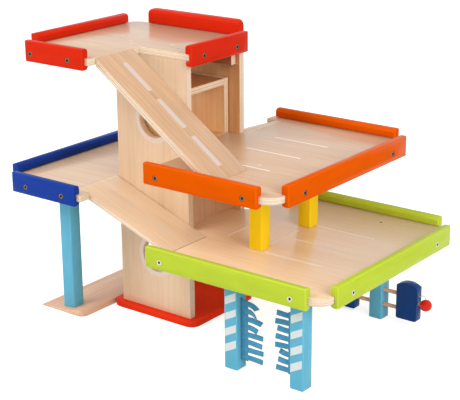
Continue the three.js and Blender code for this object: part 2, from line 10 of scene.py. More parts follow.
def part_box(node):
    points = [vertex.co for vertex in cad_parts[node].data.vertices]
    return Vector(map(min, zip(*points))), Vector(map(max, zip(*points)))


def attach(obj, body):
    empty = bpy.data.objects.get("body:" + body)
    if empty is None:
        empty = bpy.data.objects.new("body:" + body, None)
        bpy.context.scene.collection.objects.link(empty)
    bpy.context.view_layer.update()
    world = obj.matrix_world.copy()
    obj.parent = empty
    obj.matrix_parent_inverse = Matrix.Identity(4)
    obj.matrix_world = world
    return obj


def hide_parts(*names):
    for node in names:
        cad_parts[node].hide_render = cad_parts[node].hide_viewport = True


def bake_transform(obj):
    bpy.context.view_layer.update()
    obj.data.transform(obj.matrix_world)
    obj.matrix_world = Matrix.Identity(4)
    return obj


# The dressed model of a toy parking garage with lift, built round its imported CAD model
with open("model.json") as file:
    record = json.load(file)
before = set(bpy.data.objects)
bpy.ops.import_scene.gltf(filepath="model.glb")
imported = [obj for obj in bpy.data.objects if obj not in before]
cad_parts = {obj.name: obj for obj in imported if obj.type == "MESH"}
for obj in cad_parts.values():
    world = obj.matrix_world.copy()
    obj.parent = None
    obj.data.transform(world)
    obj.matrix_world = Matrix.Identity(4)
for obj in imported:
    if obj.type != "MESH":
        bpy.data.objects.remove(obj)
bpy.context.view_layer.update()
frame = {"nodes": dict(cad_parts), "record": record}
record = frame["record"]
BODY_OF = {node: body for body, nodes in record["behaviour"]["bodies"].items() for node in nodes}
SLOT_OF = {part["node"]: part["material_slot"] for part in record["subparts"]}

# Sizes in metres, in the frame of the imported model
MM = 0.001
X, Y, Z = (1, 0, 0), (0, 1, 0), (0, 0, 1)
TOWER_X = sum(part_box("front_panel")[i].x for i in (0, 1)) / 2
PLY = 2.02 * MM
PRINT_THICK = 0.12 * MM
PRINT_SUNK = 0.05 * MM
PRINT_LIFT = (PRINT_THICK - PRINT_SUNK) / 2
CORD_RADIUS = 0.8 * MM
SPOOL_RADIUS = 8.0 * MM

# How far edges are rounded
THIN_EDGE = 0.5 * MM
PANEL_EDGE = 0.6 * MM
DECK_EDGE = 0.8 * MM
ARM_EDGE = 1.0 * MM
BASE_EDGE = 1.2 * MM
RAIL_EDGE = 1.4 * MM
POST_EDGE = 2.2 * MM
TURNED_EDGE = 0.4 * MM

# Corners nearer than this are one corner
SAME_CORNER = 1e-6


def at(x, y, z=0.0):
    """A point given in millimetres from the middle of the lift shaft at the floor."""
    return Vector((TOWER_X + x * MM, y * MM, z * MM))


def on_deck(node, x, y, lift=0.0):
    """A point on a deck's top, given in millimetres from the middle of the lift shaft."""
    point = at(x, y)
    point.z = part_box(node)[1].z + lift
    return point


def colour(red, green, blue):
    """An sRGB colour in 0 to 255 as the linear colour that Blender uses."""
    parts = []
    for value in (red, green, blue):
        share = value / 255
        parts.append(share / 12.92 if share <= 0.04045 else ((share + 0.055) / 1.055) ** 2.4)
    return (*parts, 1.0)


# Nodes


def new_material(name):
    material = bpy.data.materials.new(name)
    material.use_nodes = True
    tree = material.node_tree
    return material, tree, tree.nodes["Principled BSDF"]


def wire(tree, value, socket):
    """Links another socket to this one, or gives it a value."""
    if isinstance(value, bpy.types.NodeSocket):
        tree.links.new(value, socket)
    else:
        socket.default_value = value


def add(tree, kind, inputs=None, **settings):
    """A node with its settings and inputs. An input that is a socket is linked, and any other is a value."""
    made = tree.nodes.new(kind)
    for key, value in settings.items():
        setattr(made, key, value)
    for key, value in (inputs or {}).items():
        wire(tree, value, made.inputs[key])
    return made


def math_node(tree, operation, *values):
    return add(tree, "ShaderNodeMath", dict(enumerate(values)), operation=operation).outputs[0]


def scaled(tree, vector, scale):
    return add(tree, "ShaderNodeVectorMath", {0: vector, 1: scale}, operation="MULTIPLY").outputs[0]


def noise(tree, vector, scale=1.0, detail=3.0, rough=0.5, distortion=0.0):
    inputs = {"Vector": vector, "Scale": scale, "Detail": detail, "Roughness": rough}
    return add(tree, "ShaderNodeTexNoise", {**inputs, "Distortion": distortion}).outputs["Fac"]


def blend_colours(tree, share, first, second, how="MIX"):
    """Two colours mixed. The mix node keeps its colours in sockets 6 and 7."""
    inputs = {0: share, 6: first, 7: second}
    return add(tree, "ShaderNodeMix", inputs, data_type="RGBA", blend_type=how).outputs[2]


def spread(tree, value, low, high, out_low=0.0, out_high=1.0):
    """The range low to high of a value stretched to out_low to out_high."""
    values = {"Value": value, 1: low, 2: high, 3: out_low, 4: out_high}
    return add(tree, "ShaderNodeMapRange", values).outputs[0]


def own(tree, name):
    """One of the piece's own attributes."""
    return add(tree, "ShaderNodeAttribute", attribute_name=name).outputs


def object_place(tree):
    return add(tree, "ShaderNodeTexCoord").outputs["Object"]


def bumped(tree, shader, height, strength, distance):
    made = add(tree, "ShaderNodeBump", {"Height": height, "Strength": strength, "Distance": distance})
    wire(tree, made.outputs[0], shader.inputs["Normal"])


def lacquer(shader, weight=0.25, rough=0.2):
    shader.inputs["Coat Weight"].default_value = weight
    shader.inputs["Coat Roughness"].default_value = rough


# Wood

# Noise cells per metre along the grain, across it and through the board
FIGURE = (2.5, 26, 26)
STREAKS = (8, 230, 230)
PORES = (55, 1500, 1500)
PLY_WANDER = (14, 14, 60)
PLY_FIBRE = (900, 900, 300)
GRAIN_UNDER_PAINT = (14, 420, 420)
PAINT_CLOUDS = (24, 60, 60)

# A count of plies that keeps their numbers above zero, with the board's middle in the middle of a ply
PLIES_BELOW = 20.5
SHADED_WOOD = (0.82, 0.8, 0.78, 1.0)

# The heights between which the tower's front panel darkens towards its head with painted shade
PANEL_SHADE = (0.3, 0.385)


def wood_colour(tree, grain, light, dark, contrast=1.0):
    """Long soft streaks, broad figure and fine pores that run along the grain."""
    broad = noise(tree, scaled(tree, grain, FIGURE), 1.0, 3.0, 0.55, 0.8)
    streaks = noise(tree, scaled(tree, grain, STREAKS), 1.0, 5.0, 0.72, 0.2)
    pores = noise(tree, scaled(tree, grain, PORES), 1.0, 2.0, 0.6)
    share = math_node(tree, "ADD", spread(tree, broad, 0.32, 0.68, 0.0, 0.4 * contrast),
                      spread(tree, streaks, 0.34, 0.66, 0.0, 0.6 * contrast))
    body = blend_colours(tree, share, colour(*light), colour(*dark))
    flecks = spread(tree, pores, 0.62, 0.75, 0.0, 0.22)
    return blend_colours(tree, flecks, body, colour(150, 100, 62)), streaks, pores


def ply_layers(tree, grain, through, cross_ply, glue_line):
    """The board's edge: layers with their grain this way and that, and a glue line between them."""
    wander = noise(tree, scaled(tree, grain, PLY_WANDER), 1.0, 2.0)
    height = math_node(tree, "ADD", through, spread(tree, wander, 0, 1, -0.06 * MM, 0.06 * MM))
    layer = math_node(tree, "ADD", math_node(tree, "DIVIDE", height, PLY), PLIES_BELOW)
    share = math_node(tree, "FRACT", layer)
    odd = math_node(tree, "MODULO", math_node(tree, "FLOOR", layer), 2.0)
    from_middle = math_node(tree, "ABSOLUTE", math_node(tree, "SUBTRACT", share, 0.5))
    glue = spread(tree, from_middle, 0.38, 0.49, 0.0, 0.8)
    fibre = noise(tree, scaled(tree, grain, PLY_FIBRE), 1.0, 2.0)
    plies = blend_colours(tree, odd, colour(*cross_ply), colour(244, 228, 206))
    plies = blend_colours(tree, spread(tree, fibre, 0.35, 0.7, 0.0, 0.3), plies, colour(214, 178, 140))
    return blend_colours(tree, glue, plies, colour(*glue_line)), fibre


def birch_ply(name, light, dark, rough, coat=0.25, cross_ply=(236, 214, 184), glue_line=(170, 130, 92),
              darker=None):
    """Lacquered plywood. Where darker is given, the face is darkened with painted shade between its two
    places along the grain.
    """
    material, tree, shader = new_material(name)
    grain = own(tree, "grain")["Vector"]
    face, streaks, pores = wood_colour(tree, grain, light, dark)
    apart = add(tree, "ShaderNodeSeparateXYZ", {0: grain}).outputs
    # Painted shade: the face is multiplied darker between two heights
    if darker:
        face = blend_colours(tree, spread(tree, apart[0], *darker), face, SHADED_WOOD, "MULTIPLY")
    plies, fibre = ply_layers(tree, grain, apart[2], cross_ply, glue_line)
    edge = own(tree, "ply_edge")["Fac"]
    wire(tree, blend_colours(tree, edge, face, plies), shader.inputs["Base Color"])
    sheen = math_node(tree, "ADD", spread(tree, streaks, 0.3, 0.7, rough, rough + 0.1),
                      math_node(tree, "MULTIPLY", edge, 0.18))
    wire(tree, sheen, shader.inputs["Roughness"])
    lacquer(shader, coat, 0.16)
    raised = math_node(tree, "ADD", pores, math_node(tree, "MULTIPLY", edge, fibre))
    bumped(tree, shader, raised, 0.12, 0.2 * MM)
    return material


def solid_wood(name, light, dark, rough, coat=0.1):
    """Solid beech or bare wood with its grain."""
    material, tree, shader = new_material(name)
    face, streaks, pores = wood_colour(tree, own(tree, "grain")["Vector"], light, dark, 1.2)
    wire(tree, face, shader.inputs["Base Color"])
    wire(tree, spread(tree, streaks, 0.3, 0.7, rough, rough + 0.12), shader.inputs["Roughness"])
    lacquer(shader, coat)
    bumped(tree, shader, pores, 0.15, 0.2 * MM)
    return material


def birch_tones():
    """Plywood, with a tone for each deck, panel and ramp as they have in the photo. The tones are partly the
    boards' own and partly painted light: the green deck and the gentle ramps are drawn lighter against the
    shade under the decks, the cab's walls and floor warmer with painted bounce light, and the back panel and
    the cab's roof darker with painted shade.
    """
    warm = (226, 198, 164)
    return {
        "birch_red_deck": birch_ply("birch_top_deck", (227, 192, 158), (202, 163, 128), 0.3, 0.4),
        "birch_orange_deck": birch_ply("birch_parking_deck", (230, 193, 157), (204, 163, 126), 0.3, 0.4),
        "birch_blue_deck": birch_ply("birch_lift_deck", (242, 211, 174), (224, 188, 150), 0.3, 0.5),
        "birch_green_deck": birch_ply("birch_lower_deck", (255, 230, 196), (246, 208, 167), 0.3, 0.3),
        "birch_panel": birch_ply("birch_tower_panel", (240, 210, 176), (229, 192, 154), 0.45,
                                 darker=PANEL_SHADE),
        # The back panel and the cab's roof are darkened with painted shade, and the cab's walls and floor are
        # warmed with painted bounce light
        "birch_back": birch_ply("birch_back_panel", (228, 174, 116), (210, 152, 94), 0.5, cross_ply=warm),
        "birch_inside": birch_ply("birch_cab_waxed", (246, 202, 146), (228, 174, 116), 0.5, cross_ply=warm),
        "birch_roof": birch_ply("birch_cab_roof", (212, 142, 90), (190, 116, 68), 0.5, cross_ply=warm),
        "birch_ramp": birch_ply("birch_gentle_ramp", (250, 227, 196), (236, 204, 167), 0.42),
        "birch_steep": birch_ply("birch_steep_ramp", (226, 188, 150), (196, 150, 110), 0.42,
                                 cross_ply=(226, 196, 160), glue_line=(52, 36, 26)),
    }


def solid_woods():
    return {
        "beech": solid_wood("beech_oiled", (238, 198, 166), (214, 164, 132), 0.42),
        # Screw seats in the red, orange and blue rails: wood darkened with painted shade
        "worn_seat": solid_wood("worn_screw_seat", (104, 62, 40), (70, 40, 26), 0.6, 0.0),
        "bare_wood": solid_wood("bare_wood_cut", (233, 214, 178), (214, 188, 146), 0.6, 0.0),
        "wood_plug": solid_wood("wood_plug", (244, 224, 196), (226, 198, 164), 0.45),
        # The battens' sides: beech darkened with painted shade from the shaft
        "shaft_batten": solid_wood("shaft_batten_beech", (168, 108, 70), (140, 84, 52), 0.5),
        "knot": solid_wood("dark_knot", (104, 62, 36), (62, 36, 20), 0.6, 0.0),
    }


# Paint and print


def painted(name, paint, rough=0.42, wear_and_highlight=0.2, gloss=0.05):
    """Satin paint on wood: the grain shows a little through it, and rounded edges are lighter, partly rubbed
    and partly a painted highlight.
    """
    material, tree, shader = new_material(name)
    paint = colour(*paint)
    grain = own(tree, "grain")["Vector"]
    raised = noise(tree, scaled(tree, grain, GRAIN_UNDER_PAINT), 1.0, 4.0, 0.6, 0.3)
    cloudy = noise(tree, scaled(tree, grain, PAINT_CLOUDS), 1.0, 3.0)
    speckle = noise(tree, grain, 900.0, 2.0)
    deep = tuple(0.84 * part for part in paint[:3]) + (1.0,)
    pale = tuple(min(1.0, 1.3 * part + 0.006) for part in paint[:3]) + (1.0,)
    body = blend_colours(tree, spread(tree, cloudy, 0.3, 0.75, 0.0, 0.55), paint, deep)
    body = blend_colours(tree, spread(tree, raised, 0.6, 0.8, 0.0, 0.3), body, deep)
    # Rounded rims drawn paler: partly wear, partly a painted highlight
    lit_and_worn_rim = math_node(tree, "MULTIPLY", own(tree, "rim")["Fac"], spread(tree, cloudy, 0.35, 0.65, 0.3, 1.0))
    body = blend_colours(tree, math_node(tree, "MULTIPLY", lit_and_worn_rim, wear_and_highlight * 2.5), body, pale)
    wire(tree, body, shader.inputs["Base Color"])
    wire(tree, spread(tree, cloudy, 0.2, 0.8, rough - 0.05, rough + 0.08), shader.inputs["Roughness"])
    shader.inputs["Specular IOR Level"].default_value = gloss
    facing = add(tree, "ShaderNodeLayerWeight", {"Blend": 0.5}).outputs["Facing"]
    wire(tree, spread(tree, facing, 0.5, 0.72, gloss, gloss + 0.22), shader.inputs["Specular IOR Level"])
    height = math_node(tree, "ADD", raised, math_node(tree, "MULTIPLY", speckle, 0.25))
    bumped(tree, shader, height, 0.1, 0.3 * MM)
    return material


def paints():
    return {
        "red_paint": painted("red_paint", (212, 40, 12)),
        "orange_paint": painted("orange_paint", (225, 89, 0), gloss=0.01),
        "blue_paint": painted("blue_paint", (26, 60, 150)),
        "green_paint": painted("green_paint", (188, 208, 58)),
        "yellow_paint": painted("yellow_paint", (255, 217, 31)),
        "light_blue_paint": painted("light_blue_paint", (104, 182, 210)),
        "navy_paint": painted("navy_paint", (12, 60, 124), 0.35, 0.4, 0.14),
        # The base plate's red is a lighter copy of the rails' red: painted light
        "base_paint": painted("red_base_paint", (240, 54, 18)),
        "ball_paint": painted("red_ball_gloss", (226, 30, 0), 0.14, 0.0, 0.24),
    }


def printed_white(name, full, thinned):
    """White screen print, a little broken by the grain below it."""
    material, tree, shader = new_material(name)
    thin = noise(tree, object_place(tree), 700.0, 3.0)
    body = blend_colours(tree, spread(tree, thin, 0.5, 0.75, 0.0, 0.45), colour(*full), colour(*thinned))
    wire(tree, body, shader.inputs["Base Color"])
    wire(tree, spread(tree, thin, 0.3, 0.7, 0.42, 0.55), shader.inputs["Roughness"])
    bumped(tree, shader, thin, 0.1, 0.1 * MM)
    return material


def inks():
    """White print, thinner on the ramps and the posts than on the decks."""
    return {
        "white_line": printed_white("white_line_print", (255, 246, 236), (248, 228, 206)),
        "white_dash": printed_white("white_dash_print", (218, 200, 190), (212, 184, 162)),
        "faint_dash": printed_white("faint_dash_print", (238, 216, 190), (234, 204, 170)),
        "white_ring": printed_white("white_ring_print", (236, 218, 202), (228, 200, 174)),
        "white_stripe": printed_white("white_post_stripe", (214, 222, 220), (196, 208, 210)),
    }


# Felt, cord, steel and floor


def wool_felt():
    """Pressed felt: matted fibres, mottled tone and a soft sheen."""
    material, tree, shader = new_material("turquoise_felt")
    place = object_place(tree)
    fibres = noise(tree, place, 2600.0, 4.0, 0.7, 1.2)
    mottle = noise(tree, place, 260.0, 3.0)
    body = blend_colours(tree, spread(tree, mottle, 0.3, 0.7), colour(62, 152, 186), colour(44, 128, 166))
    body = blend_colours(tree, spread(tree, fibres, 0.5, 0.8, 0.0, 0.5), body, colour(120, 190, 212))
    wire(tree, body, shader.inputs["Base Color"])
    shader.inputs["Roughness"].default_value = 0.95
    shader.inputs["Sheen Weight"].default_value = 0.35
    shader.inputs["Sheen Roughness"].default_value = 0.5
    bumped(tree, shader, fibres, 0.55, 0.5 * MM)
    return material


def twisted_cord():
    """White cord, whose strands run round it along the piece's own UV map of turns and metres."""
    material, tree, shader = new_material("white_cord")
    along = add(tree, "ShaderNodeUVMap", uv_map="along").outputs[0]
    turn, run, _ = add(tree, "ShaderNodeSeparateXYZ", {0: along}).outputs
    strands = math_node(tree, "MULTIPLY", turn, 3.0)
    slanted = math_node(tree, "ADD", strands, math_node(tree, "MULTIPLY", run, 700.0))
    strand = math_node(tree, "ABSOLUTE", math_node(tree, "SUBTRACT", math_node(tree, "FRACT", slanted), 0.5))
    body = blend_colours(tree, spread(tree, strand, 0.0, 0.5), colour(245, 241, 232), colour(196, 186, 170))
    wire(tree, body, shader.inputs["Base Color"])
    shader.inputs["Roughness"].default_value = 0.8
    shader.inputs["Sheen Weight"].default_value = 0.2
    bumped(tree, shader, math_node(tree, "SUBTRACT", 0.5, strand), 0.6, 0.3 * MM)
    return material


def plated_steel(name, tone, scratched=(150, 145, 136)):
    """Plated steel with fine scratches."""
    material, tree, shader = new_material(name)
    scratch = noise(tree, scaled(tree, object_place(tree), (900, 2600, 900)), 1.0, 4.0, 0.7)
    body = blend_colours(tree, spread(tree, scratch, 0.4, 0.7, 0.0, 0.5), colour(*tone), colour(*scratched))
    wire(tree, body, shader.inputs["Base Color"])
    shader.inputs["Metallic"].default_value = 1.0
    wire(tree, spread(tree, scratch, 0.3, 0.7, 0.25, 0.42), shader.inputs["Roughness"])
    return material


def dark_socket():
    """The inside of a screw's hexagonal socket, drawn near black with painted shade."""
    material, tree, shader = new_material("socket_steel")
    socket_mottle = noise(tree, object_place(tree), 1400.0, 3.0)
    body = blend_colours(tree, spread(tree, socket_mottle, 0.3, 0.7), colour(22, 18, 16), colour(12, 10, 10))
    wire(tree, body, shader.inputs["Base Color"])
    wire(tree, spread(tree, socket_mottle, 0.3, 0.7, 0.4, 0.6), shader.inputs["Roughness"])
    return material


def steels():
    return {
        "steel": plated_steel("plated_steel", (205, 200, 190)),
        # One steel in a lighter and a darker copy: painted light and shade on the rails' screws
        "bright_steel": plated_steel("bright_screw_steel", (226, 222, 212)),
        "dark_steel": plated_steel("dark_screw_steel", (138, 112, 90), (70, 52, 40)),
        "socket": dark_socket(),
    }


def seen(tree):
    """1 for rays that the camera, a reflection or glass sees, else 0."""
    path = add(tree, "ShaderNodeLightPath").outputs
    first = math_node(tree, "MAXIMUM", path["Is Camera Ray"], path["Is Glossy Ray"])
    return math_node(tree, "MAXIMUM", first, path["Is Transmission Ray"])


# The floor's own colour, and how far it glows where it is seen
FLOOR_TONE = 0.75
FLOOR_GLOW = 0.66


def pale_floor():
    """A matt floor that keeps the object's shadow and is otherwise seen as near white."""
    material, tree, _ = new_material("pale_floor")
    tree.nodes.clear()
    matt = add(tree, "ShaderNodeBsdfDiffuse", {"Color": (FLOOR_TONE, FLOOR_TONE, FLOOR_TONE, 1)}).outputs[0]
    glow = add(tree, "ShaderNodeEmission", {"Color": (1, 1, 1, 1), "Strength": FLOOR_GLOW}).outputs[0]
    dark = add(tree, "ShaderNodeEmission", {"Color": (0, 0, 0, 1), "Strength": 0.0}).outputs[0]
    which = add(tree, "ShaderNodeMixShader", {0: seen(tree), 1: dark, 2: glow}).outputs[0]
    both = add(tree, "ShaderNodeAddShader", {0: matt, 1: which}).outputs[0]
    add(tree, "ShaderNodeOutputMaterial", {0: both})
    return material


def make_materials():
    """Every material, under the short name that the pieces use."""
    groups = (birch_tones(), solid_woods(), paints(), inks(), steels())
    made = {name: material for group in groups for name, material in group.items()}
    made.update(felt=wool_felt(), cotton_cord=twisted_cord(), floor=pale_floor())
    return made


# Meshes

# By how squarely a face lies: above the first it is the board's own face, below the second a rounded rim
SQUARE_ON = 0.9
RIM_BELOW = 0.985


def in_scene(name, data):
    """A new object in the scene."""
    made = bpy.data.objects.new(name, data)
    bpy.context.scene.collection.objects.link(made)
    return made


def as_mesh(name, work):
    mesh = bpy.data.meshes.new(name)
    work.to_mesh(mesh)
    work.free()
    return mesh


def as_object(name, work, *materials):
    made = in_scene(name, as_mesh(name, work))
    for material in materials:
        made.data.materials.append(M[material])
    return made


def joined(node):
    """A copy of a CAD node as one skin with flat faces whole."""
    work = bmesh.new()
    work.from_mesh(frame["nodes"][node].data)
    bmesh.ops.remove_doubles(work, verts=work.verts, dist=SAME_CORNER)
    bmesh.ops.dissolve_limit(work, angle_limit=math.radians(0.5), verts=work.verts, edges=work.edges)
    return work


def gathered(bodies):
    """Several bodies in one."""
    work = bmesh.new()
    for body in bodies:
        held = as_mesh("held", body)
        work.from_mesh(held)
        bpy.data.meshes.remove(held)
    return work


def baked(obj):
    """Puts the result of the piece's modifiers in its own mesh."""
    mesh = bpy.data.meshes.new_from_object(obj.evaluated_get(bpy.context.evaluated_depsgraph_get()))
    obj.modifiers.clear()
    old = obj.data
    obj.data = mesh
    bpy.data.meshes.remove(old)
    mesh.name = obj.name
    return obj


def smooth(obj, angle=None):
    obj.data.polygons.foreach_set("use_smooth", [True] * len(obj.data.polygons))
    if angle is not None:
        obj.data.set_sharp_from_angle(angle=math.radians(angle))
    return obj


def rounded(obj, width, segments=2, angle=25):
    """Rounds the piece's edges that are sharper than the angle and smooths its skin."""
    bevel = obj.modifiers.new("edges", "BEVEL")
    bevel.width, bevel.segments = width, segments
    bevel.limit_method, bevel.angle_limit = "ANGLE", math.radians(angle)
    bevel.use_clamp_overlap = True
    bevel.harden_normals = True
    return baked(smooth(obj))


def lay_grain(obj, along=X, through=Z, rim_below=RIM_BELOW):
    """Gives the mesh its wood space: along the grain, across it, and through the board from its middle."""
    mesh = obj.data
    places = np.empty(3 * len(mesh.vertices))
    mesh.vertices.foreach_get("co", places)
    x, z = Vector(along).normalized(), Vector(through).normalized()
    axes = np.array([x, z.cross(x).normalized(), z])
    local = places.reshape(-1, 3) @ axes.T
    local[:, 2] -= (local[:, 2].max() + local[:, 2].min()) / 2
    grain = mesh.attributes.new("grain", "FLOAT_VECTOR", "POINT")
    grain.data.foreach_set("vector", local.astype(np.float32).ravel())
    normals = np.empty(3 * len(mesh.polygons))
    mesh.polygons.foreach_get("normal", normals)
    turned = np.abs(normals.reshape(-1, 3) @ axes.T)
    edge = mesh.attributes.new("ply_edge", "FLOAT", "FACE")
    edge.data.foreach_set("value", (turned[:, 2] < SQUARE_ON).astype(np.float32))
    rim = mesh.attributes.new("rim", "FLOAT", "FACE")
    rim.data.foreach_set("value", (turned.max(1) < rim_below).astype(np.float32))
    return obj


def settle(obj, body, slot=None, *nodes):
    """Says which body the piece rides on and hides the CAD nodes that it stands for. The material slot is not
    used.
    """
    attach(obj, body)
    if nodes:
        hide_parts(*nodes)
    return obj


def stand_for(obj, node):
    return settle(obj, BODY_OF[node], SLOT_OF[node], node)


def board(node, name, along, through, width, material=None, segments=2):
    """A wooden CAD node with rounded edges and its grain."""
    obj = rounded(as_object(name, joined(node), material or SLOT_OF[node]), width, segments)
    return stand_for(lay_grain(obj, along, through), node)


def circle(middle, first, second, radius, steps):
    """Points round a circle that lies along two directions."""
    angles = [2 * math.pi * i / steps for i in range(steps)]
    return [middle + radius * (math.cos(a) * first + math.sin(a) * second) for a in angles]


def turned_body(points, start, axis, steps=48):
    """A closed body turned about an axis from points (radius, distance along it)."""
    axis = Vector(axis).normalized()
    side = axis.orthogonal().normalized()
    other = axis.cross(side)
    work = bmesh.new()
    rings = []
    for radius, along in points:
        centre = Vector(start) + along * axis
        corners = circle(centre, side, other, radius, steps) if radius > SAME_CORNER else [centre]
        rings.append([work.verts.new(corner) for corner in corners])
    for low, high in zip(rings, rings[1:]):
        for i in range(steps):
            j = (i + 1) % steps
            corners = [low[i % len(low)], low[j % len(low)], high[j % len(high)], high[i % len(high)]]
            unique = list(dict.fromkeys(corners))
            if len(unique) > 2:
                work.faces.new(unique)
    if len(rings[0]) > 1 and (Vector(points[0]) - Vector(points[-1])).length < SAME_CORNER:
        bmesh.ops.remove_doubles(work, verts=work.verts, dist=SAME_CORNER)
    bmesh.ops.recalc_face_normals(work, faces=work.faces)
    return work


def rod(radius, long, soft=TURNED_EDGE):
    """The outline of a round rod with softened ends."""
    return [(0, 0), (radius - soft, 0), (radius, soft),
            (radius, long - soft), (radius - soft, long), (0, long)]


def band(bore, radius, low, high):
    """The outline of a flat ring between two places along its axis."""
    return [(bore, low), (radius, low), (radius, high), (bore, high), (bore, low)]


def tube(name, points, radius, sides=12, closed=False, material="cotton_cord"):
    """A round cord along points, with a UV map of turns round it and metres along it."""
    points = [Vector(p) for p in points]
    count = len(points)
    work = bmesh.new()
    layer = work.loops.layers.uv.new("along")
    rings, lengths, side, run = [], [], None, 0.0
    for i, point in enumerate(points):
        after = points[(i + 1) % count] if closed or i + 1 < count else point
        before = points[i - 1] if closed or i else point
        ahead = (after - before).normalized()
        side = ahead.orthogonal() if side is None else side - side.dot(ahead) * ahead
        side.normalize()
        ring = circle(point, side, ahead.cross(side), radius, sides)
        rings.append([work.verts.new(corner) for corner in ring])
        run += (point - points[i - 1]).length if i else 0.0
        lengths.append(run)
    pairs = list(zip(range(count - 1), range(1, count))) + ([(count - 1, 0)] if closed else [])
    for i, j in pairs:
        far = lengths[j] if j else lengths[i] + (points[0] - points[i]).length
        for s in range(sides):
            t = (s + 1) % sides
            face = work.faces.new([rings[i][s], rings[i][t], rings[j][t], rings[j][s]])
            turn, next_turn = s / sides, (s + 1) / sides
            places = [(turn, lengths[i]), (next_turn, lengths[i]), (next_turn, far), (turn, far)]
            for loop, place in zip(face.loops, places):
                loop[layer].uv = place
    if not closed:
        work.faces.new(list(reversed(rings[0])))
        work.faces.new(rings[-1])
    bmesh.ops.recalc_face_normals(work, faces=work.faces)
    return smooth(as_object(name, work, material), 60)


def curved(corners, steps=8):
    """A smooth line through the corners."""
    corners = [Vector(c) for c in corners]
    line = []
    for i in range(len(corners) - 1):
        a, b = corners[i], corners[i + 1]
        before = corners[i - 1] if i else 2 * a - b
        after = corners[i + 2] if i + 2 < len(corners) else 2 * b - a
        for s in range(steps):
            t = s / steps
            line.append(0.5 * (2 * a + (b - before) * t + (2 * before - 5 * a + 4 * b - after) * t**2
                               + (3 * a - before - 3 * b + after) * t**3))
    return line + [corners[-1]]


# Geometry Nodes

SCREW_RADIUS = 3.5 * MM
SCREW_HEIGHT = 2.2 * MM
SCREW_FOOT_SHARE = 0.45
SOCKET_RADIUS = 2.2 * MM
SOCKET_DEPTH = 1.6 * MM
WINDING_TURNS = 5.0
WINDING_PITCH_SHARE = 2.03
FLOAT, MATERIAL = "NodeSocketFloat", "NodeSocketMaterial"


def new_tree(name, **inputs):
    """A Geometry Nodes tree with named inputs, given as (socket kind, default)."""
    tree = bpy.data.node_groups.new(name, "GeometryNodeTree")
    tree.interface.new_socket("Geometry", in_out="INPUT", socket_type="NodeSocketGeometry")
    for label, (kind, default) in inputs.items():
        socket = tree.interface.new_socket(label.replace("_", " "), in_out="INPUT", socket_type=kind)
        if default is not None:
            socket.default_value = default
    tree.interface.new_socket("Geometry", in_out="OUTPUT", socket_type="NodeSocketGeometry")
    return tree, tree.nodes.new("NodeGroupInput").outputs, tree.nodes.new("NodeGroupOutput").inputs


def finish_tree(tree, geometry, material, out):
    """Ends a tree in real geometry with its material."""
    real = add(tree, "GeometryNodeRealizeInstances", {0: geometry}).outputs[0]
    dressed = add(tree, "GeometryNodeSetMaterial", {"Geometry": real, "Material": material}).outputs[0]
    wire(tree, dressed, out[0])
    return tree


def grown(name, carrier, tree, **values):
    """The mesh that a tree makes on a carrier mesh."""
    obj = in_scene(name, carrier)
    modifier = obj.modifiers.new("tree", "NODES")
    modifier.node_group = tree
    for item in tree.interface.items_tree:
        key = item.name.replace(" ", "_")
        if item.item_type == "SOCKET" and item.in_out == "INPUT" and key in values:
            modifier[item.identifier] = values[key]
    return baked(obj)


def points_mesh(name, places, **attributes):
    """Loose points, each with its own vectors for a tree to read."""
    mesh = bpy.data.meshes.new(name)
    mesh.from_pydata([tuple(p) for p in places], [], [])
    for label, vectors in attributes.items():
        held = mesh.attributes.new(label, "FLOAT_VECTOR", "POINT")
        held.data.foreach_set("vector", [part for v in vectors for part in v])
    return mesh


def named(tree, name, kind="FLOAT_VECTOR"):
    """A value stored on the geometry under a name."""
    return add(tree, "GeometryNodeInputNamedAttribute", {"Name": name}, data_type=kind).outputs[0]


def stored(tree, geometry, name, value, kind="FLOAT", domain="POINT"):
    """The geometry with a value stored on it under a name."""
    settings = {"Geometry": geometry, "Name": name, "Value": value}
    return add(tree, "GeometryNodeStoreNamedAttribute", settings, data_type=kind, domain=domain).outputs[0]


def screw_head(tree, given):
    """A countersunk head whose hexagonal socket is cut out, with a dark inside."""
    foot = math_node(tree, "MULTIPLY", given["Head Radius"], SCREW_FOOT_SHARE)
    cone = add(tree, "GeometryNodeMeshCone", {
        "Vertices": 32, "Radius Top": given["Head Radius"], "Radius Bottom": foot,
        "Depth": given["Head Height"]})
    deep = math_node(tree, "MULTIPLY", given["Socket Depth"], 2.0)
    hexagon = add(tree, "GeometryNodeMeshCylinder", {
        "Vertices": 6, "Radius": given["Socket Radius"], "Depth": deep})
    top = add(tree, "ShaderNodeCombineXYZ", {2: given["Head Height"]}).outputs[0]
    lifted = add(tree, "GeometryNodeTransform", {"Geometry": hexagon.outputs[0], "Translation": top})
    dark = add(tree, "GeometryNodeSetMaterial", {0: lifted.outputs[0], "Material": given["Socket Material"]})
    plain = add(tree, "GeometryNodeSetMaterial", {0: cone.outputs[0], "Material": given["Material"]})
    return add(tree, "GeometryNodeMeshBoolean", {0: plain.outputs[0], 1: dark.outputs[0]},
               operation="DIFFERENCE", solver="EXACT").outputs[0]


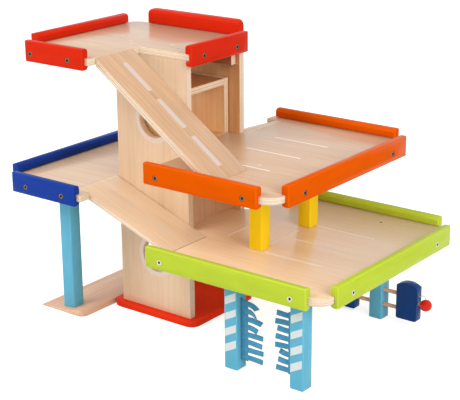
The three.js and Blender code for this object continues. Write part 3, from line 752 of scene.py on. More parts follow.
def screw_tree():
    """Countersunk screws, one on each point, facing along its outward vector and turned at random."""
    tree, given, out = new_tree(
        "countersunk_screws", Head_Radius=(FLOAT, SCREW_RADIUS), Head_Height=(FLOAT, SCREW_HEIGHT),
        Socket_Radius=(FLOAT, SOCKET_RADIUS), Socket_Depth=(FLOAT, SOCKET_DEPTH),
        Material=(MATERIAL, None), Socket_Material=(MATERIAL, None))
    outward = named(tree, "out")
    facing = add(tree, "FunctionNodeAlignRotationToVector", {"Vector": outward}, axis="Z").outputs[0]
    spin = add(tree, "FunctionNodeRandomValue", {"Min": (0.0,) * 3, "Max": (0.0, 0.0, 6.28), "Seed": 7},
               data_type="FLOAT_VECTOR").outputs[0]
    euler = add(tree, "FunctionNodeEulerToRotation", {0: spin}).outputs[0]
    turn = add(tree, "FunctionNodeRotateRotation", {0: facing, 1: euler}, rotation_space="LOCAL").outputs[0]
    placed = add(tree, "GeometryNodeInstanceOnPoints", {
        "Points": given["Geometry"], "Instance": screw_head(tree, given), "Rotation": turn})
    wire(tree, add(tree, "GeometryNodeRealizeInstances", {0: placed.outputs[0]}).outputs[0], out[0])
    return tree


def bar_tree():
    """Flat bars of print: one on each point, with its size and its turn."""
    tree, given, out = new_tree("printed_bars", Thickness=(FLOAT, PRINT_THICK + PRINT_SUNK),
                                Material=(MATERIAL, None))
    size = add(tree, "ShaderNodeCombineXYZ", {0: 1.0, 1: 1.0, 2: given["Thickness"]}).outputs[0]
    bar = add(tree, "GeometryNodeMeshCube", {"Size": size}).outputs[0]
    turn = add(tree, "FunctionNodeEulerToRotation", {0: named(tree, "turn")}).outputs[0]
    placed = add(tree, "GeometryNodeInstanceOnPoints", {
        "Points": given["Geometry"], "Instance": bar, "Rotation": turn, "Scale": named(tree, "size")})
    return finish_tree(tree, placed.outputs[0], given["Material"], out)


def disc_tree():
    """Small round discs that stand a hair above a deck."""
    tree, given, out = new_tree("round_plugs", Radius=(FLOAT, PLUG_RADIUS), Height=(FLOAT, PLUG_HEIGHT),
                                Material=(MATERIAL, None))
    disc = add(tree, "GeometryNodeMeshCylinder", {
        "Vertices": 28, "Radius": given["Radius"], "Depth": given["Height"]})
    placed = add(tree, "GeometryNodeInstanceOnPoints", {
        "Points": given["Geometry"], "Instance": disc.outputs[0], "Scale": named(tree, "size")})
    return finish_tree(tree, placed.outputs[0], given["Material"], out)


def winding_tree():
    """A cord wound on a drum that lies along Z, with a UV map of turns round the cord and metres along it."""
    tree, given, out = new_tree(
        "cord_winding", Turns=(FLOAT, WINDING_TURNS), Drum_Radius=(FLOAT, SPOOL_RADIUS),
        Cord_Radius=(FLOAT, CORD_RADIUS), Material=(MATERIAL, None))
    radius = math_node(tree, "ADD", given["Drum Radius"], given["Cord Radius"])
    pitch = math_node(tree, "MULTIPLY", given["Cord Radius"], WINDING_PITCH_SHARE)
    spiral = add(tree, "GeometryNodeCurveSpiral", {
        "Resolution": 40, "Rotations": given["Turns"], "Start Radius": radius, "End Radius": radius,
        "Height": math_node(tree, "MULTIPLY", given["Turns"], pitch)})
    ring = add(tree, "GeometryNodeCurvePrimitiveCircle", {"Resolution": 10, "Radius": given["Cord Radius"]})
    place = add(tree, "GeometryNodeSplineParameter").outputs
    path = stored(tree, spiral.outputs[0], "run", place["Length"])
    profile = stored(tree, ring.outputs[0], "turn", place["Factor"])
    wound = add(tree, "GeometryNodeCurveToMesh", {"Curve": path, "Profile Curve": profile, "Fill Caps": True})
    turn, run = named(tree, "turn", "FLOAT"), named(tree, "run", "FLOAT")
    both = add(tree, "ShaderNodeCombineXYZ", {0: turn, 1: run}).outputs[0]
    mapped = stored(tree, wound.outputs[0], "along", both, "FLOAT2", "CORNER")
    return finish_tree(tree, mapped, given["Material"], out)


# Decks, panels and ramps

# The gentle ramps are drawn a little clear of the tower's panels
RAMP_GAP = 0.6 * MM
RAMP_GAP_EDGE = 67.5 * MM
LANDING = 7.5 * MM
RAMPS = {
    "ramp_red_to_orange": ("top_ramp_board", 1, 0.0, "birch_steep", BASE_EDGE),
    "ramp_orange_to_blue": ("back_ramp_board", -1, LANDING, "birch_ramp", THIN_EDGE),
    "ramp_blue_to_green": ("front_ramp_board", 1, LANDING, "birch_ramp", THIN_EDGE),
    "ramp_green_to_ground": ("ground_ramp_board", -1, 0.0, "birch_steep", BASE_EDGE),
}


def make_boards():
    for storey in ("red", "orange", "blue", "green"):
        board(f"deck_{storey}", f"{storey}_deck_board", X, Z, DECK_EDGE, f"birch_{storey}_deck")
    for side, tone in (("front", "birch_panel"), ("back", "birch_back")):
        board(f"{side}_panel", f"{side}_tower_panel", Z, Y, PANEL_EDGE, tone)
        board(f"cab_{side}_wall", f"{side}_cab_wall", Z, Y, PANEL_EDGE, "birch_inside")
        # The battens' sides take painted shade and their ends keep light wood
        batten = board(f"{side}_batten", f"{side}_head_batten", X, Y, THIN_EDGE, "shaft_batten")
        batten.data.materials.append(M["wood_plug"])
        for face in batten.data.polygons:
            face.material_index = int(abs(face.normal.x) > SQUARE_ON)
    board("cab_floor", "cab_floor_board", X, Z, THIN_EDGE, "birch_inside")
    board("cab_roof", "cab_roof_board", X, Z, THIN_EDGE, "birch_roof")
    board("base_plate", "red_base_plate", Y, Z, BASE_EDGE, "base_paint", 3)
    board("entry_wedge", "beech_entry_wedge", Y, Z, PANEL_EDGE, "beech")


def make_ramps():
    """The ramps, whose grain runs down them from the upper corner of the landing to the toe."""
    for node, (name, way, landing, tone, edge) in RAMPS.items():
        low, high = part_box(node)
        down = Vector((way * (high.x - low.x - landing), 0, low.z - high.z)).normalized()
        through = Vector((-down.z * way, 0, down.x * way))
        ramp = board(node, name, down, through, edge, tone, 3)
        for corner in ramp.data.vertices:
            if landing and abs(corner.co.y) < RAMP_GAP_EDGE:
                corner.co.y += math.copysign(RAMP_GAP, corner.co.y)


# Rails with their screws

RAIL_FOOT_TO_SCREW = 11.4 * MM
SCREW_SUNK = 2.55 * MM
SINK_RADIUS = 4.1 * MM
SINK_FOOT = 2.8 * MM
SINK_DEPTH = 2.6 * MM
SINK_PAST = 1.0 * MM
OUTWARD = {"front": (0, -1, 0), "back": (0, 1, 0), "left": (-1, 0, 0), "right": (1, 0, 0)}

# How far each rail's two screws sit from its ends, in millimetres
SCREWS = {
    "rail_red_left": (26.2, 29.6), "rail_red_front": (9.5, 28.0), "rail_red_right": (27.9, 25.7),
    "rail_red_back": (22.0, 26.0), "rail_orange_front": (20.8, 22.3), "rail_orange_right": (36.7, 36.7),
    "rail_orange_back": (22.3, 22.3), "rail_blue_left": (36.7, 36.7), "rail_blue_front": (26.9, 25.7),
    "rail_blue_back": (26.9, 25.7), "rail_green_front": (24.3, 24.2), "rail_green_right": (36.7, 36.7),
    "rail_green_back": (24.3, 24.2),
}


def screw_places(node):
    """Where the screws of a rail sit on its outer face, and which way they face."""
    low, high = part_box(node)
    out = Vector(OUTWARD[node.split("_")[2]])
    along = 0 if out.y else 1
    across = 1 - along
    first, last = SCREWS[node]
    places = []
    for end in (low[along] + first * MM, high[along] - last * MM):
        point = Vector((0, 0, low.z + RAIL_FOOT_TO_SCREW))
        point[along] = end
        point[across] = (high if out[across] > 0 else low)[across]
        places.append(point)
    return places, out


def countersinks(places, out):
    """Cones that cut the screws' seats."""
    outline = [(0, -SINK_DEPTH), (SINK_FOOT, -SINK_DEPTH), (SINK_RADIUS, 0),
               (SINK_RADIUS, SINK_PAST), (0, SINK_PAST)]
    return gathered([turned_body(outline, point, out, 32) for point in places])


def make_rail(node):
    """A rail with its screws' seats cut. Returns where the screws go."""
    _, storey, side = node.split("_")
    places, out = screw_places(node)
    # Seats in the green rails show bare wood; in the others they are darkened with painted shade
    seat = "bare_wood" if storey == "green" else "worn_seat"
    skins = (SLOT_OF[node], seat)
    rail = rounded(as_object(f"{storey}_{side}_rail", joined(node), *skins), RAIL_EDGE, 3, 60)
    cutter = as_object("cutter", countersinks(places, out), *skins)
    cutter.data.polygons.foreach_set("material_index", [1] * len(cutter.data.polygons))
    cut = rail.modifiers.new("seats", "BOOLEAN")
    cut.object, cut.operation, cut.solver = cutter, "DIFFERENCE", "EXACT"
    baked(rail)
    bpy.data.objects.remove(cutter)
    stand_for(lay_grain(rail, X if out.y else Y, Z), node)
    return [(point, out) for point in places]


def make_rails():
    """The rails, with bright screws in the green ones and dark screws in the others: one steel drawn lighter
    and darker as painted light and shade.
    """
    seats = {"bright": [], "dark": []}
    for node in SCREWS:
        seats["bright" if "green" in node else "dark"] += make_rail(node)
    tree = screw_tree()
    for tone, places in seats.items():
        sunk = [point - SCREW_SUNK * out for point, out in places]
        carrier = points_mesh(f"{tone}_screw_places", sunk, out=[out for _, out in places])
        screws = grown(f"{tone}_rail_screws", carrier, tree,
                       Material=M[f"{tone}_steel"], Socket_Material=M["socket"])
        settle(smooth(screws, 30), "garage")


# Posts


def make_posts():
    for node in sorted(n for n in frame["nodes"] if n.startswith("post_")):
        post = rounded(as_object(f"{node[5:]}_post", joined(node), SLOT_OF[node]), POST_EDGE, 4, 60)
        settle(lay_grain(post, Z, X), "garage", SLOT_OF[node], node)


# White prints, placed in millimetres from the middle of the lift shaft

# Each ramp's dashes: their spans in X, the line's place in Y at the head, its drift to the toe, and its width
DASHES = {
    "ramp_red_to_orange": (((-2, 45), (59, 106), (120, 167)), -115.7, -7.5, 8.6 * MM),
    "ramp_blue_to_green": (((-46, 2), (23, 70)), -108.0, 0.0, 9.0 * MM),
}
LINE_WIDTH = 3.0 * MM
ORANGE_LINES = [((120, y), (211, y)) for y in (69.2, 0.5, -71)]
GREEN_LINES = [((200.5, y), (294, y)) for y in (-68, -1, 64)]
GREEN_LINES += [((187.5, -36), (187.5, 36)), ((119.5, -46), (119.5, 1))]
WINDOWS = ((3.5, 95.2), (3.5, 299.4))
RING_BORE, RING_RADIUS = 26.6 * MM, 33.6 * MM
# The width of the painted shadow at the front ramp's toe
TOE_SHADOW_WIDTH = 0.8 * MM
STRIPES = ((104.1, 92.8), (80.6, 70.4), (58.1, 46.9), (35.4, 23.9))
STRIPE_RISE = 9.5
STRIPE_INSET = 1.6 * MM


def print_on(name, bars, ink):
    """Bars of print, each given as its middle, its length and width, and its turn."""
    middles, longs, widths, turns = zip(*bars)
    sizes = [(long, width, 1.0) for long, width in zip(longs, widths)]
    carrier = points_mesh(name + "_places", middles, size=sizes, turn=turns)
    return settle(grown(name, carrier, TREES["bars"], Material=M[ink]), "garage")


def ramp_dashes(name, node, ink):
    """Dashes along a ramp, on a line that drifts in Y towards its toe."""
    spans, y_top, drift, width = DASHES[node]
    low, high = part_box(node)
    start = low.x + RAMPS[node][2]
    slope = (high.z - low.z) / (high.x - start)
    bars = []
    for span in spans:
        ends = []
        for x in (TOWER_X + x_mm * MM for x_mm in span):
            share = (x - low.x) / (high.x - low.x)
            ends.append(Vector((x, (y_top + drift * share) * MM, high.z - slope * (x - start))))
        way = ends[1] - ends[0]
        pitch = math.atan2(-way.z, math.hypot(way.x, way.y))
        middle = (ends[0] + ends[1]) / 2 + PRINT_LIFT * Vector((math.sin(pitch), 0, math.cos(pitch)))
        bars.append((middle, way.length, width, (0, pitch, math.atan2(way.y, way.x))))
    return print_on(name, bars, ink)


def deck_lines(name, node, lines):
    """Parking lines on a deck, each from one place to another."""
    bars = []
    for first, last in lines:
        a, b = on_deck(node, *first, PRINT_LIFT), on_deck(node, *last, PRINT_LIFT)
        bars.append(((a + b) / 2, (b - a).length, LINE_WIDTH, (0, 0, math.atan2((b - a).y, (b - a).x))))
    return print_on(name, bars, "white_line")


def ramp_toe_shadow():
    """A thin dark strip of painted shadow where the front ramp's toe meets the green deck."""
    low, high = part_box("ramp_blue_to_green")
    middle = Vector((high.x + TOE_SHADOW_WIDTH / 2, (low.y + high.y) / 2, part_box("deck_green")[1].z))
    print_on("front_ramp_seam", [(middle, TOE_SHADOW_WIDTH, high.y - low.y, (0, 0, 0))], "knot")


def window_rings():
    """White rings printed round the two round windows."""
    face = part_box("front_panel")[0].y
    outline = band(RING_BORE, RING_RADIUS, -PRINT_SUNK, PRINT_THICK)
    rings = []
    for x, z in WINDOWS:
        middle = at(x, 0, z)
        middle.y = face
        rings.append(turned_body(outline, middle, OUTWARD["front"], 72))
    return settle(smooth(as_object("window_rings", gathered(rings), "white_ring"), 30), "garage")


def post_stripes():
    """Slanted white stripes on the front of the two car wash posts."""
    work = bmesh.new()
    for node in ("post_wash_left", "post_wash_right"):
        low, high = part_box(node)
        left, right = low.x + STRIPE_INSET, high.x - STRIPE_INSET
        for top, bottom in STRIPES:
            corners = [(left, bottom), (right, bottom + STRIPE_RISE), (right, top + STRIPE_RISE), (left, top)]
            front = [work.verts.new((x, low.y - PRINT_THICK, z * MM)) for x, z in corners]
            back = [work.verts.new((x, low.y + PRINT_SUNK, z * MM)) for x, z in corners]
            work.faces.new(front)
            work.faces.new(list(reversed(back)))
            for i in range(4):
                j = (i + 1) % 4
                work.faces.new([front[j], front[i], back[i], back[j]])
    bmesh.ops.recalc_face_normals(work, faces=work.faces)
    return settle(as_object("post_stripes", work, "white_stripe"), "garage")


def make_prints():
    ramp_dashes("top_ramp_dashes", "ramp_red_to_orange", "white_dash")
    ramp_dashes("front_ramp_dashes", "ramp_blue_to_green", "faint_dash")
    deck_lines("orange_deck_lines", "deck_orange", ORANGE_LINES)
    deck_lines("green_deck_lines", "deck_green", GREEN_LINES)
    ramp_toe_shadow()
    window_rings()
    post_stripes()


# Plugs and knots in the wood, placed in millimetres from the middle of the lift shaft

PLUG_RADIUS = 3.0 * MM
PLUG_HEIGHT = 0.3 * MM
KNOT_HEIGHT = 0.1 * MM
PLUGS = (("deck_red", -56.7, -40.5), ("deck_red", -88, -22.7), ("deck_red", 10.8, -28.7),
         ("deck_red", -41.5, -55.6), ("deck_orange", 184.6, -57.3))
KNOTS = (("deck_red", 33.7, -44.3), ("deck_green", 264.7, 131.2))
KNOT_SHARES = ((0.3, 0.45, 1.0), (0.6, 0.6, 1.0))
PANEL_KNOT = (-9, 0, 379)
PANEL_KNOT_RADIUS = 1.4 * MM
RED_EDGE_WIDTH = 1.8 * MM
RED_EDGE_INSET = 0.4 * MM


def discs(name, spots, shares, height, ink):
    """Small discs on the decks, each with its shares of the plugs' size."""
    carrier = points_mesh(name + "_places", [on_deck(*spot) for spot in spots], size=shares)
    made = grown(name, carrier, TREES["discs"], Height=height, Material=M[ink])
    return settle(lay_grain(made, X, Z), "garage")


def panel_knot():
    place = at(*PANEL_KNOT)
    place.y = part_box("front_panel")[0].y
    half = KNOT_HEIGHT / 2
    outline = [(0, -half), (PANEL_KNOT_RADIUS, -half), (PANEL_KNOT_RADIUS, half), (0, half)]
    knot = as_object("panel_knot", turned_body(outline, place, Y, 24), "knot")
    settle(lay_grain(knot, Z, Y), "garage")


def batten_red_edge():
    """A thin red strip on the batten's end, beside the back panel at the head of the shaft."""
    low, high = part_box("back_batten")
    work = bmesh.new()
    bmesh.ops.create_cube(work, size=1.0)
    size = (PRINT_THICK, RED_EDGE_WIDTH, high.z - low.z - 4 * RED_EDGE_INSET)
    middle = (high.x, high.y - RED_EDGE_WIDTH / 2 - RED_EDGE_INSET, (low.z + high.z) / 2)
    bmesh.ops.scale(work, verts=work.verts, vec=size)
    bmesh.ops.translate(work, verts=work.verts, vec=middle)
    settle(lay_grain(as_object("batten_red_edge", work, "red_paint"), Y, X), "garage")


def make_plugs_and_knots():
    smooth(discs("deck_plugs", PLUGS, [(1.0, 1.0, 1.0)] * len(PLUGS), PLUG_HEIGHT, "wood_plug"), 30)
    discs("deck_knots", KNOTS, KNOT_SHARES, KNOT_HEIGHT, "knot")
    panel_knot()
    batten_red_edge()


# Car wash

FELT_THICK = 1.6 * MM
FELT_EDGE = 0.3 * MM
FELT_TUCK = 6.0 * MM
FELT_RIPPLE = 0.35 * MM
FELT_WAVES = 160
FELT_BAND = {"felt_left": 11.0 * MM, "felt_right": 9.0 * MM}
FELT_FINGERS = 8
FELT_COLUMNS = 6
FINGER_HALF_SHARE = 0.33

# The felt fingers from top to bottom: length in millimetres, droop, sway and curl
FINGERS = {
    "felt_left": (
        (15.5, 1.15, 0.35, 0.5), (18.5, 0.8, -0.4, -0.7), (21.5, 0.4, 0.2, 0.5), (17.5, 0.3, -0.2, 0.3),
        (24, 0.08, 0.1, 0.0), (24, 0.05, -0.1, 0.1), (24.5, 0.05, 0.1, 0.0), (24.5, 0.08, 0.0, 0.0)),
    "felt_right": (
        (19.5, 0.02, 0.1, 0.2), (20, 0.0, -0.2, 0.2), (19.5, 0.06, 0.2, 0.4), (20.5, 0.0, 0.0, 0.2),
        (20, 0.04, -0.2, 0.1), (17, 0.0, 0.4, 0.8), (18.5, 0.1, 0.3, 0.5), (19.5, 0.0, 0.0, 0.2)),
}


def finger_path(length, droop, sway, curl, steps=10):
    """Places along a finger from its root, with its tilt and twist there: it droops, sways and curls."""
    point, path = Vector(), []
    for i in range(steps + 1):
        share = i / steps
        angle = droop * share
        path.append((point.copy(), angle, curl * share))
        aside = sway * math.sin(math.pi * share / 2)
        point += length / steps * Vector((math.cos(angle), aside, -math.sin(angle)))
    return path


def felt_band(work, node, way, reach, pitch, half):
    """The band that the fingers grow from: rows of corners out from the post, three rows to a finger."""
    low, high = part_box(node)
    root = low.x if way > 0 else high.x
    heights = [low.z]
    for i in range(FELT_FINGERS):
        centre = low.z + (i + 0.5) * pitch
        heights += [centre - half, centre, centre + half]
    heights.append(high.z)
    rows = []
    for z in heights:
        row = []
        for share in (c / FELT_COLUMNS for c in range(FELT_COLUMNS + 1)):
            ripple = FELT_RIPPLE * share * math.sin(z * FELT_WAVES + share)
            row.append(work.verts.new((root + way * reach * share, (low.y + high.y) / 2 + ripple, z)))
        rows.append(row)
    for a, b in zip(rows, rows[1:]):
        for c in range(FELT_COLUMNS):
            work.faces.new([a[c], a[c + 1], b[c + 1], b[c]])
    return rows


def felt_finger(work, roots, way, half, length, droop, sway, curl):
    """One finger, grown from three corners at the band's edge."""
    before = roots
    for place, tilt, twist in finger_path(length, droop, sway, curl)[1:]:
        across = Vector((math.sin(tilt) * math.cos(twist), math.sin(twist), math.cos(tilt) * math.cos(twist)))
        here = []
        for k in (-1, 0, 1):
            offset = place + k * half * across
            offset.x *= way
            here.append(work.verts.new(roots[1].co + offset))
        for k in range(2):
            work.faces.new([before[k], here[k], here[k + 1], before[k + 1]])
        before = here


def make_felt(node, way):
    """A felt sheet cut to a fringe: one mid surface that is then given its thickness."""
    side = node.split("_")[1]
    low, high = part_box(node)
    height = high.z - low.z
    pitch = height / FELT_FINGERS
    half = FINGER_HALF_SHARE * pitch
    reach = FELT_TUCK + FELT_BAND[node]
    lengths = [finger[0] * MM for finger in FINGERS[node]]
    work = bmesh.new()
    rows = felt_band(work, node, way, reach, pitch, half)
    for i, (_, *bends) in enumerate(reversed(FINGERS[node])):
        roots = [rows[1 + 3 * i + k][-1] for k in range(3)]
        felt_finger(work, roots, way, half, lengths[-1 - i], *bends)
    bmesh.ops.recalc_face_normals(work, faces=work.faces)
    felt = as_object(f"{side}_felt_fringe", work, "felt")
    thick = felt.modifiers.new("thickness", "SOLIDIFY")
    thick.thickness, thick.offset = FELT_THICK, 0.0
    soft = felt.modifiers.new("soft", "BEVEL")
    soft.width, soft.segments = FELT_EDGE, 2
    soft.limit_method, soft.angle_limit = "ANGLE", math.radians(50)
    stand_for(baked(smooth(felt)), node)


# Fuel pumps

PEG_RADIUS = 3.0 * MM
BALL_SHARE = 1.12
BALL_STEPS = 28
PEG_PAST_BALL = 0.1 * MM
THREAD_RADIUS = 0.6 * MM

# The nozzle cord's places out from the ball's middle and up, in millimetres
NOZZLE_ROUTE = ((-24.6, 10.5), (-14.6, 10.5), (-11, 10.9), (-8, 12.7), (-4.6, 13.6), (-1.6, 12.4), (0, 8.5))


def make_pumps():
    for side, way in (("right", 1), ("left", -1)):
        pump = rounded(as_object(f"{side}_pump_block", joined(f"pump_{side}"), "navy_paint"), DECK_EDGE, 3)
        settle(lay_grain(pump, Z, Y), "garage", "navy_paint", f"pump_{side}")
        make_nozzle(side, way)
    for number in (1, 2):
        node = f"pump_dowel_{number}"
        low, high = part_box(node)
        start = Vector((low.x, (low.y + high.y) / 2, (low.z + high.z) / 2))
        outline = rod((high.z - low.z) / 2, high.x - low.x)
        dowel = smooth(as_object(f"beech_dowel_{number}", turned_body(outline, start, X), "beech"), 30)
        settle(lay_grain(dowel, X, Z), "garage", SLOT_OF[node], node)


def make_nozzle(side, way):
    """A round ball with its peg, drawn a little larger than its solid, and its cord."""
    low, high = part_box(f"nozzle_{side}")
    radius = (high.z - low.z) / 2
    centre = (low + high) / 2
    centre.x = high.x - radius if way > 0 else low.x + radius
    long = high.x - low.x - radius
    radius *= BALL_SHARE
    start = math.asin(PEG_RADIUS / radius)
    outline = [(0, -long), (PEG_RADIUS - TURNED_EDGE, -long), (PEG_RADIUS, -long + TURNED_EDGE)]
    for i in range(BALL_STEPS):
        angle = start + (math.pi - start) * i / BALL_STEPS
        outline.append((radius * math.sin(angle), -radius * math.cos(angle)))
    outline.append((0, radius))
    ball = as_object(f"{side}_nozzle_ball", turned_body(outline, centre, (way, 0, 0)), "ball_paint", "beech")
    for face in ball.data.polygons:
        face.material_index = int((face.center - centre).length > radius + PEG_PAST_BALL)
    lay_grain(smooth(ball, 40), X, Z, 0.0)
    settle(ball, f"{side}_nozzle", "red_paint", f"nozzle_{side}")
    points = curved([centre + Vector((way * x * MM, 0, z * MM)) for x, z in NOZZLE_ROUTE])
    cord = tube(f"{side}_nozzle_thread", points, THREAD_RADIUS)
    settle(cord, f"{side}_nozzle", "cotton_cord", f"nozzle_cord_{side}")


# Winch

BORE_GAP = 0.3 * MM
COLLAR_EDGE = 0.6 * MM
FLANGE_WIDE = 3.0 * MM
FLANGE_EDGE = 0.7 * MM
PIN_RADIUS = 3.0 * MM
PIN_LENGTH = 8.3 * MM
NECK_RADIUS = 5.0 * MM
ROUND_STEPS = 12


def turned_piece(name, node, outline):
    """A beech piece turned about the crank's direction, which starts at its CAD node's front."""
    low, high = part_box(node)
    start = Vector(((low.x + high.x) / 2, low.y, (low.z + high.z) / 2))
    obj = smooth(as_object(name, turned_body(outline, start, Y), "beech"), 30)
    return stand_for(lay_grain(obj, Y, Z), node)


def outer_size(node):
    """The radius and the length of a piece turned about Y."""
    low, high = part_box(node)
    return (high.z - low.z) / 2, high.y - low.y


def collar_outline(bore):
    radius, long = outer_size("axle_collar")
    soft = COLLAR_EDGE
    return [(bore, 0), (radius - soft, 0), (radius, soft), (radius, long - soft), (radius - soft, long),
            (bore, long), (bore, 0)]


def spool_outline(bore):
    """A drum between two flanges with softened rims."""
    flange, long = outer_size("winch_spool")
    wide, soft = FLANGE_WIDE, FLANGE_EDGE
    first = [(bore, 0), (flange - soft, 0), (flange, soft), (flange, wide - soft), (flange - soft, wide),
             (SPOOL_RADIUS, wide)]
    return first + [(radius, long - along) for radius, along in reversed(first)] + first[:1]


def handle_outline():
    """A pin, and a grip that swells from its neck to a round end."""
    low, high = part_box("crank_handle")
    big, long, soft = (high.x - low.x) / 2, high.y - low.y, TURNED_EDGE
    outline = [(0, 0), (PIN_RADIUS, 0), (PIN_RADIUS, PIN_LENGTH), (NECK_RADIUS - soft, PIN_LENGTH),
               (NECK_RADIUS, PIN_LENGTH + soft)]
    quarters = [math.pi / 2 * i / ROUND_STEPS for i in range(1, ROUND_STEPS + 1)]
    for i, angle in enumerate(quarters, 1):
        swell = NECK_RADIUS + (big - NECK_RADIUS) * math.sin(angle)
        outline.append((swell, PIN_LENGTH + (long - PIN_LENGTH - big) * i / ROUND_STEPS))
    for angle in quarters[:-1]:
        outline.append((big * math.cos(angle), long - big * (1 - math.sin(angle))))
    return outline + [(0, long)]


def make_winch():
    low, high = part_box("winch_axle")
    radius, long = outer_size("winch_axle")
    bore = radius + BORE_GAP
    turned_piece("beech_axle", "winch_axle", rod(radius, long, THIN_EDGE))
    turned_piece("beech_collar", "axle_collar", collar_outline(bore))
    turned_piece("beech_spool", "winch_spool", spool_outline(bore))
    board("crank_arm", "red_crank_arm", Z, Y, ARM_EDGE, segments=3)
    turned_piece("beech_crank_handle", "crank_handle", handle_outline())
    make_cords((low + high) / 2)


# Lift cord and screw eye

WINDING_END = 5.1 * MM
HANG_STEPS = 12
EYE_RADIUS = 3.5 * MM
EYE_WIRE = 0.8 * MM
SHANK_DEPTHS = (5.0 * MM, 7.0 * MM, 9.8 * MM)
KNOT_ABOVE_EYE = 1.2 * MM
LOOP_HALF_WIDE, LOOP_HALF_HIGH, LOOP_UP = 1.5 * MM, 2.1 * MM, 3.4 * MM
LOOP_CORD = 0.7 * MM
KNOT_TURNS = 2.5
KNOT_STEPS = 60
KNOT_RADIUS, KNOT_CORD, KNOT_HIGH = 1.3 * MM, 0.75 * MM, 3.4 * MM
KNOT_BELOW_SHARE = 0.35


def make_cords(axle):
    """The cord wound on the spool, and the length that hangs from it to the knot over the cab's screw eye."""
    carrier = points_mesh("spool_place", [(0, 0, 0)])
    wound = grown("wound_cord", carrier, winding_tree(), Turns=WINDING_TURNS, Material=M["cotton_cord"])
    laid = Matrix.Rotation(math.radians(90), 4, "X")
    wound.data.transform(Matrix.Translation((axle.x, WINDING_END, axle.z)) @ laid)
    settle(smooth(wound, 60), "winch", "cotton_cord")
    free_y = WINDING_END - WINDING_TURNS * WINDING_PITCH_SHARE * CORD_RADIUS
    top = Vector((axle.x + SPOOL_RADIUS + CORD_RADIUS, free_y, axle.z))
    eye_top = Vector((TOWER_X, 0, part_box("cab_screw_eye")[1].z))
    bottom = eye_top + Vector((0, 0, KNOT_ABOVE_EYE))
    line = [top.lerp(bottom, i / HANG_STEPS) for i in range(HANG_STEPS + 1)]
    hanging = tube("hanging_cord", line, CORD_RADIUS)
    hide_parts("lift_cord")
    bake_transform(hanging)
    eye_middle = eye_top - Vector((0, 0, EYE_RADIUS + EYE_WIRE))
    tie_cord(eye_middle, bottom)
    make_screw_eye(eye_middle)


def tie_cord(eye_middle, knot_middle):
    """The cord's loop through the screw eye and the knot over it."""
    wide, high = LOOP_HALF_WIDE * Vector(Y), LOOP_HALF_HIGH * Vector(Z)
    loop = circle(eye_middle + LOOP_UP * Vector(Z), high, wide, 1.0, 24)
    settle(tube("cord_loop", loop, LOOP_CORD, closed=True), "cab", "cotton_cord")
    knot = []
    for share in (i / KNOT_STEPS for i in range(KNOT_STEPS + 1)):
        angle = 2 * math.pi * KNOT_TURNS * share
        out = KNOT_RADIUS * Vector((math.cos(angle), math.sin(angle), 0))
        knot.append(knot_middle + out + Vector((0, 0, (share - KNOT_BELOW_SHARE) * KNOT_HIGH)))
    settle(tube("cord_knot", knot, KNOT_CORD), "cab", "cotton_cord")


def make_screw_eye(middle):
    """A ring of steel wire and its shank down into the cab's roof."""
    round_eye = circle(middle, Vector(Z), Vector(X), EYE_RADIUS, 40)
    ring = tube("steel_screw_eye", round_eye, EYE_WIRE, closed=True, material="steel")
    settle(ring, "cab", "steel", "cab_screw_eye")
    down = [middle - depth * Vector(Z) for depth in (EYE_RADIUS, *SHANK_DEPTHS)]
    settle(tube("screw_eye_shank", down, EYE_WIRE, material="steel"), "cab", "steel")


# Camera, floor and light

# The photo's camera, found from the object's straight edges, with its lens in the photo's pixels
CAMERA_PLACE = (1.1192, -1.4493, 0.7854)
AZIMUTH, ELEVATION, ROLL = (math.radians(angle) for angle in (37.5, 18.35, 0.43))
LENS_PIXELS = 1329.84
PHOTO_PIXELS = 460
SENSOR = 36.0

# The light that comes from all round, and the place that the lamps face
AMBIENT = 0.54
LIT_PLACE = (0, 0, 0.2)

# Each lamp's place, size and power, and whether gloss mirrors it: low lamps would blot out the decks' colour
LAMPS = {
    "light_from_the_right": ((3.0, -0.8, 1.45), 1.8, 57, False),
    "light_from_the_front": ((-0.8, -1.9, 2.3), 1.4, 32, True),
    "light_from_the_left": ((-2.6, -1.8, 1.0), 1.4, 28, False),
}
FLOOR_HALF = 6.0
FLOOR_DROP = 0.2 * MM


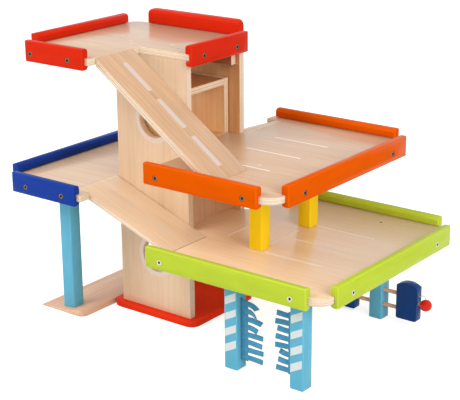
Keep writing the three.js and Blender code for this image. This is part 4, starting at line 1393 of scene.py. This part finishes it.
def make_camera():
    flat = math.cos(ELEVATION)
    ahead = Vector((-math.sin(AZIMUTH) * flat, math.cos(AZIMUTH) * flat, -math.sin(ELEVATION)))
    level = Vector((math.cos(AZIMUTH), math.sin(AZIMUTH), 0))
    upright = level.cross(ahead)
    right = level * math.cos(ROLL) - upright * math.sin(ROLL)
    up = level * math.sin(ROLL) + upright * math.cos(ROLL)
    lens = bpy.data.cameras.new("camera")
    lens.sensor_fit, lens.sensor_width, lens.lens = "HORIZONTAL", SENSOR, LENS_PIXELS * SENSOR / PHOTO_PIXELS
    lens.clip_start, lens.clip_end = 0.05, 50
    camera = in_scene("camera", lens)
    turned = Matrix((right, up, -ahead)).transposed().to_4x4()
    camera.matrix_world = Matrix.Translation(CAMERA_PLACE) @ turned
    bpy.context.scene.camera = camera


def make_floor():
    work = bmesh.new()
    bmesh.ops.create_grid(work, x_segments=1, y_segments=1, size=FLOOR_HALF)
    bmesh.ops.translate(work, verts=work.verts, vec=(0, 0, -FLOOR_DROP))
    as_object("floor", work, "floor")


def make_world():
    """An even light from all round, seen as white."""
    world = bpy.data.worlds.new("white_room")
    bpy.context.scene.world = world
    world.use_nodes = True
    tree = world.node_tree
    tree.nodes.clear()
    level = math_node(tree, "MULTIPLY_ADD", seen(tree), 1.0 - AMBIENT, AMBIENT)
    light = add(tree, "ShaderNodeBackground", {"Color": (1, 1, 1, 1), "Strength": level}).outputs[0]
    add(tree, "ShaderNodeOutputWorld", {0: light})


def make_lights():
    """Square lamps that face the object."""
    for name, (place, size, power, mirrored) in LAMPS.items():
        light = bpy.data.lights.new(name, "AREA")
        light.shape, light.size, light.energy = "SQUARE", size, power
        lamp = in_scene(name, light)
        lamp.location = place
        lamp.rotation_mode = "QUATERNION"
        lamp.rotation_quaternion = (Vector(LIT_PLACE) - Vector(place)).to_track_quat("-Z", "Y")
        lamp.visible_glossy = mirrored


M = make_materials()
TREES = {"bars": bar_tree(), "discs": disc_tree()}
make_camera()
make_world()
make_floor()
make_lights()
make_boards()
make_ramps()
make_rails()
make_posts()
make_prints()
make_plugs_and_knots()
make_felt("felt_left", 1)
make_felt("felt_right", -1)
make_pumps()
make_winch()
bpy.context.scene.view_settings.view_transform = "Standard"
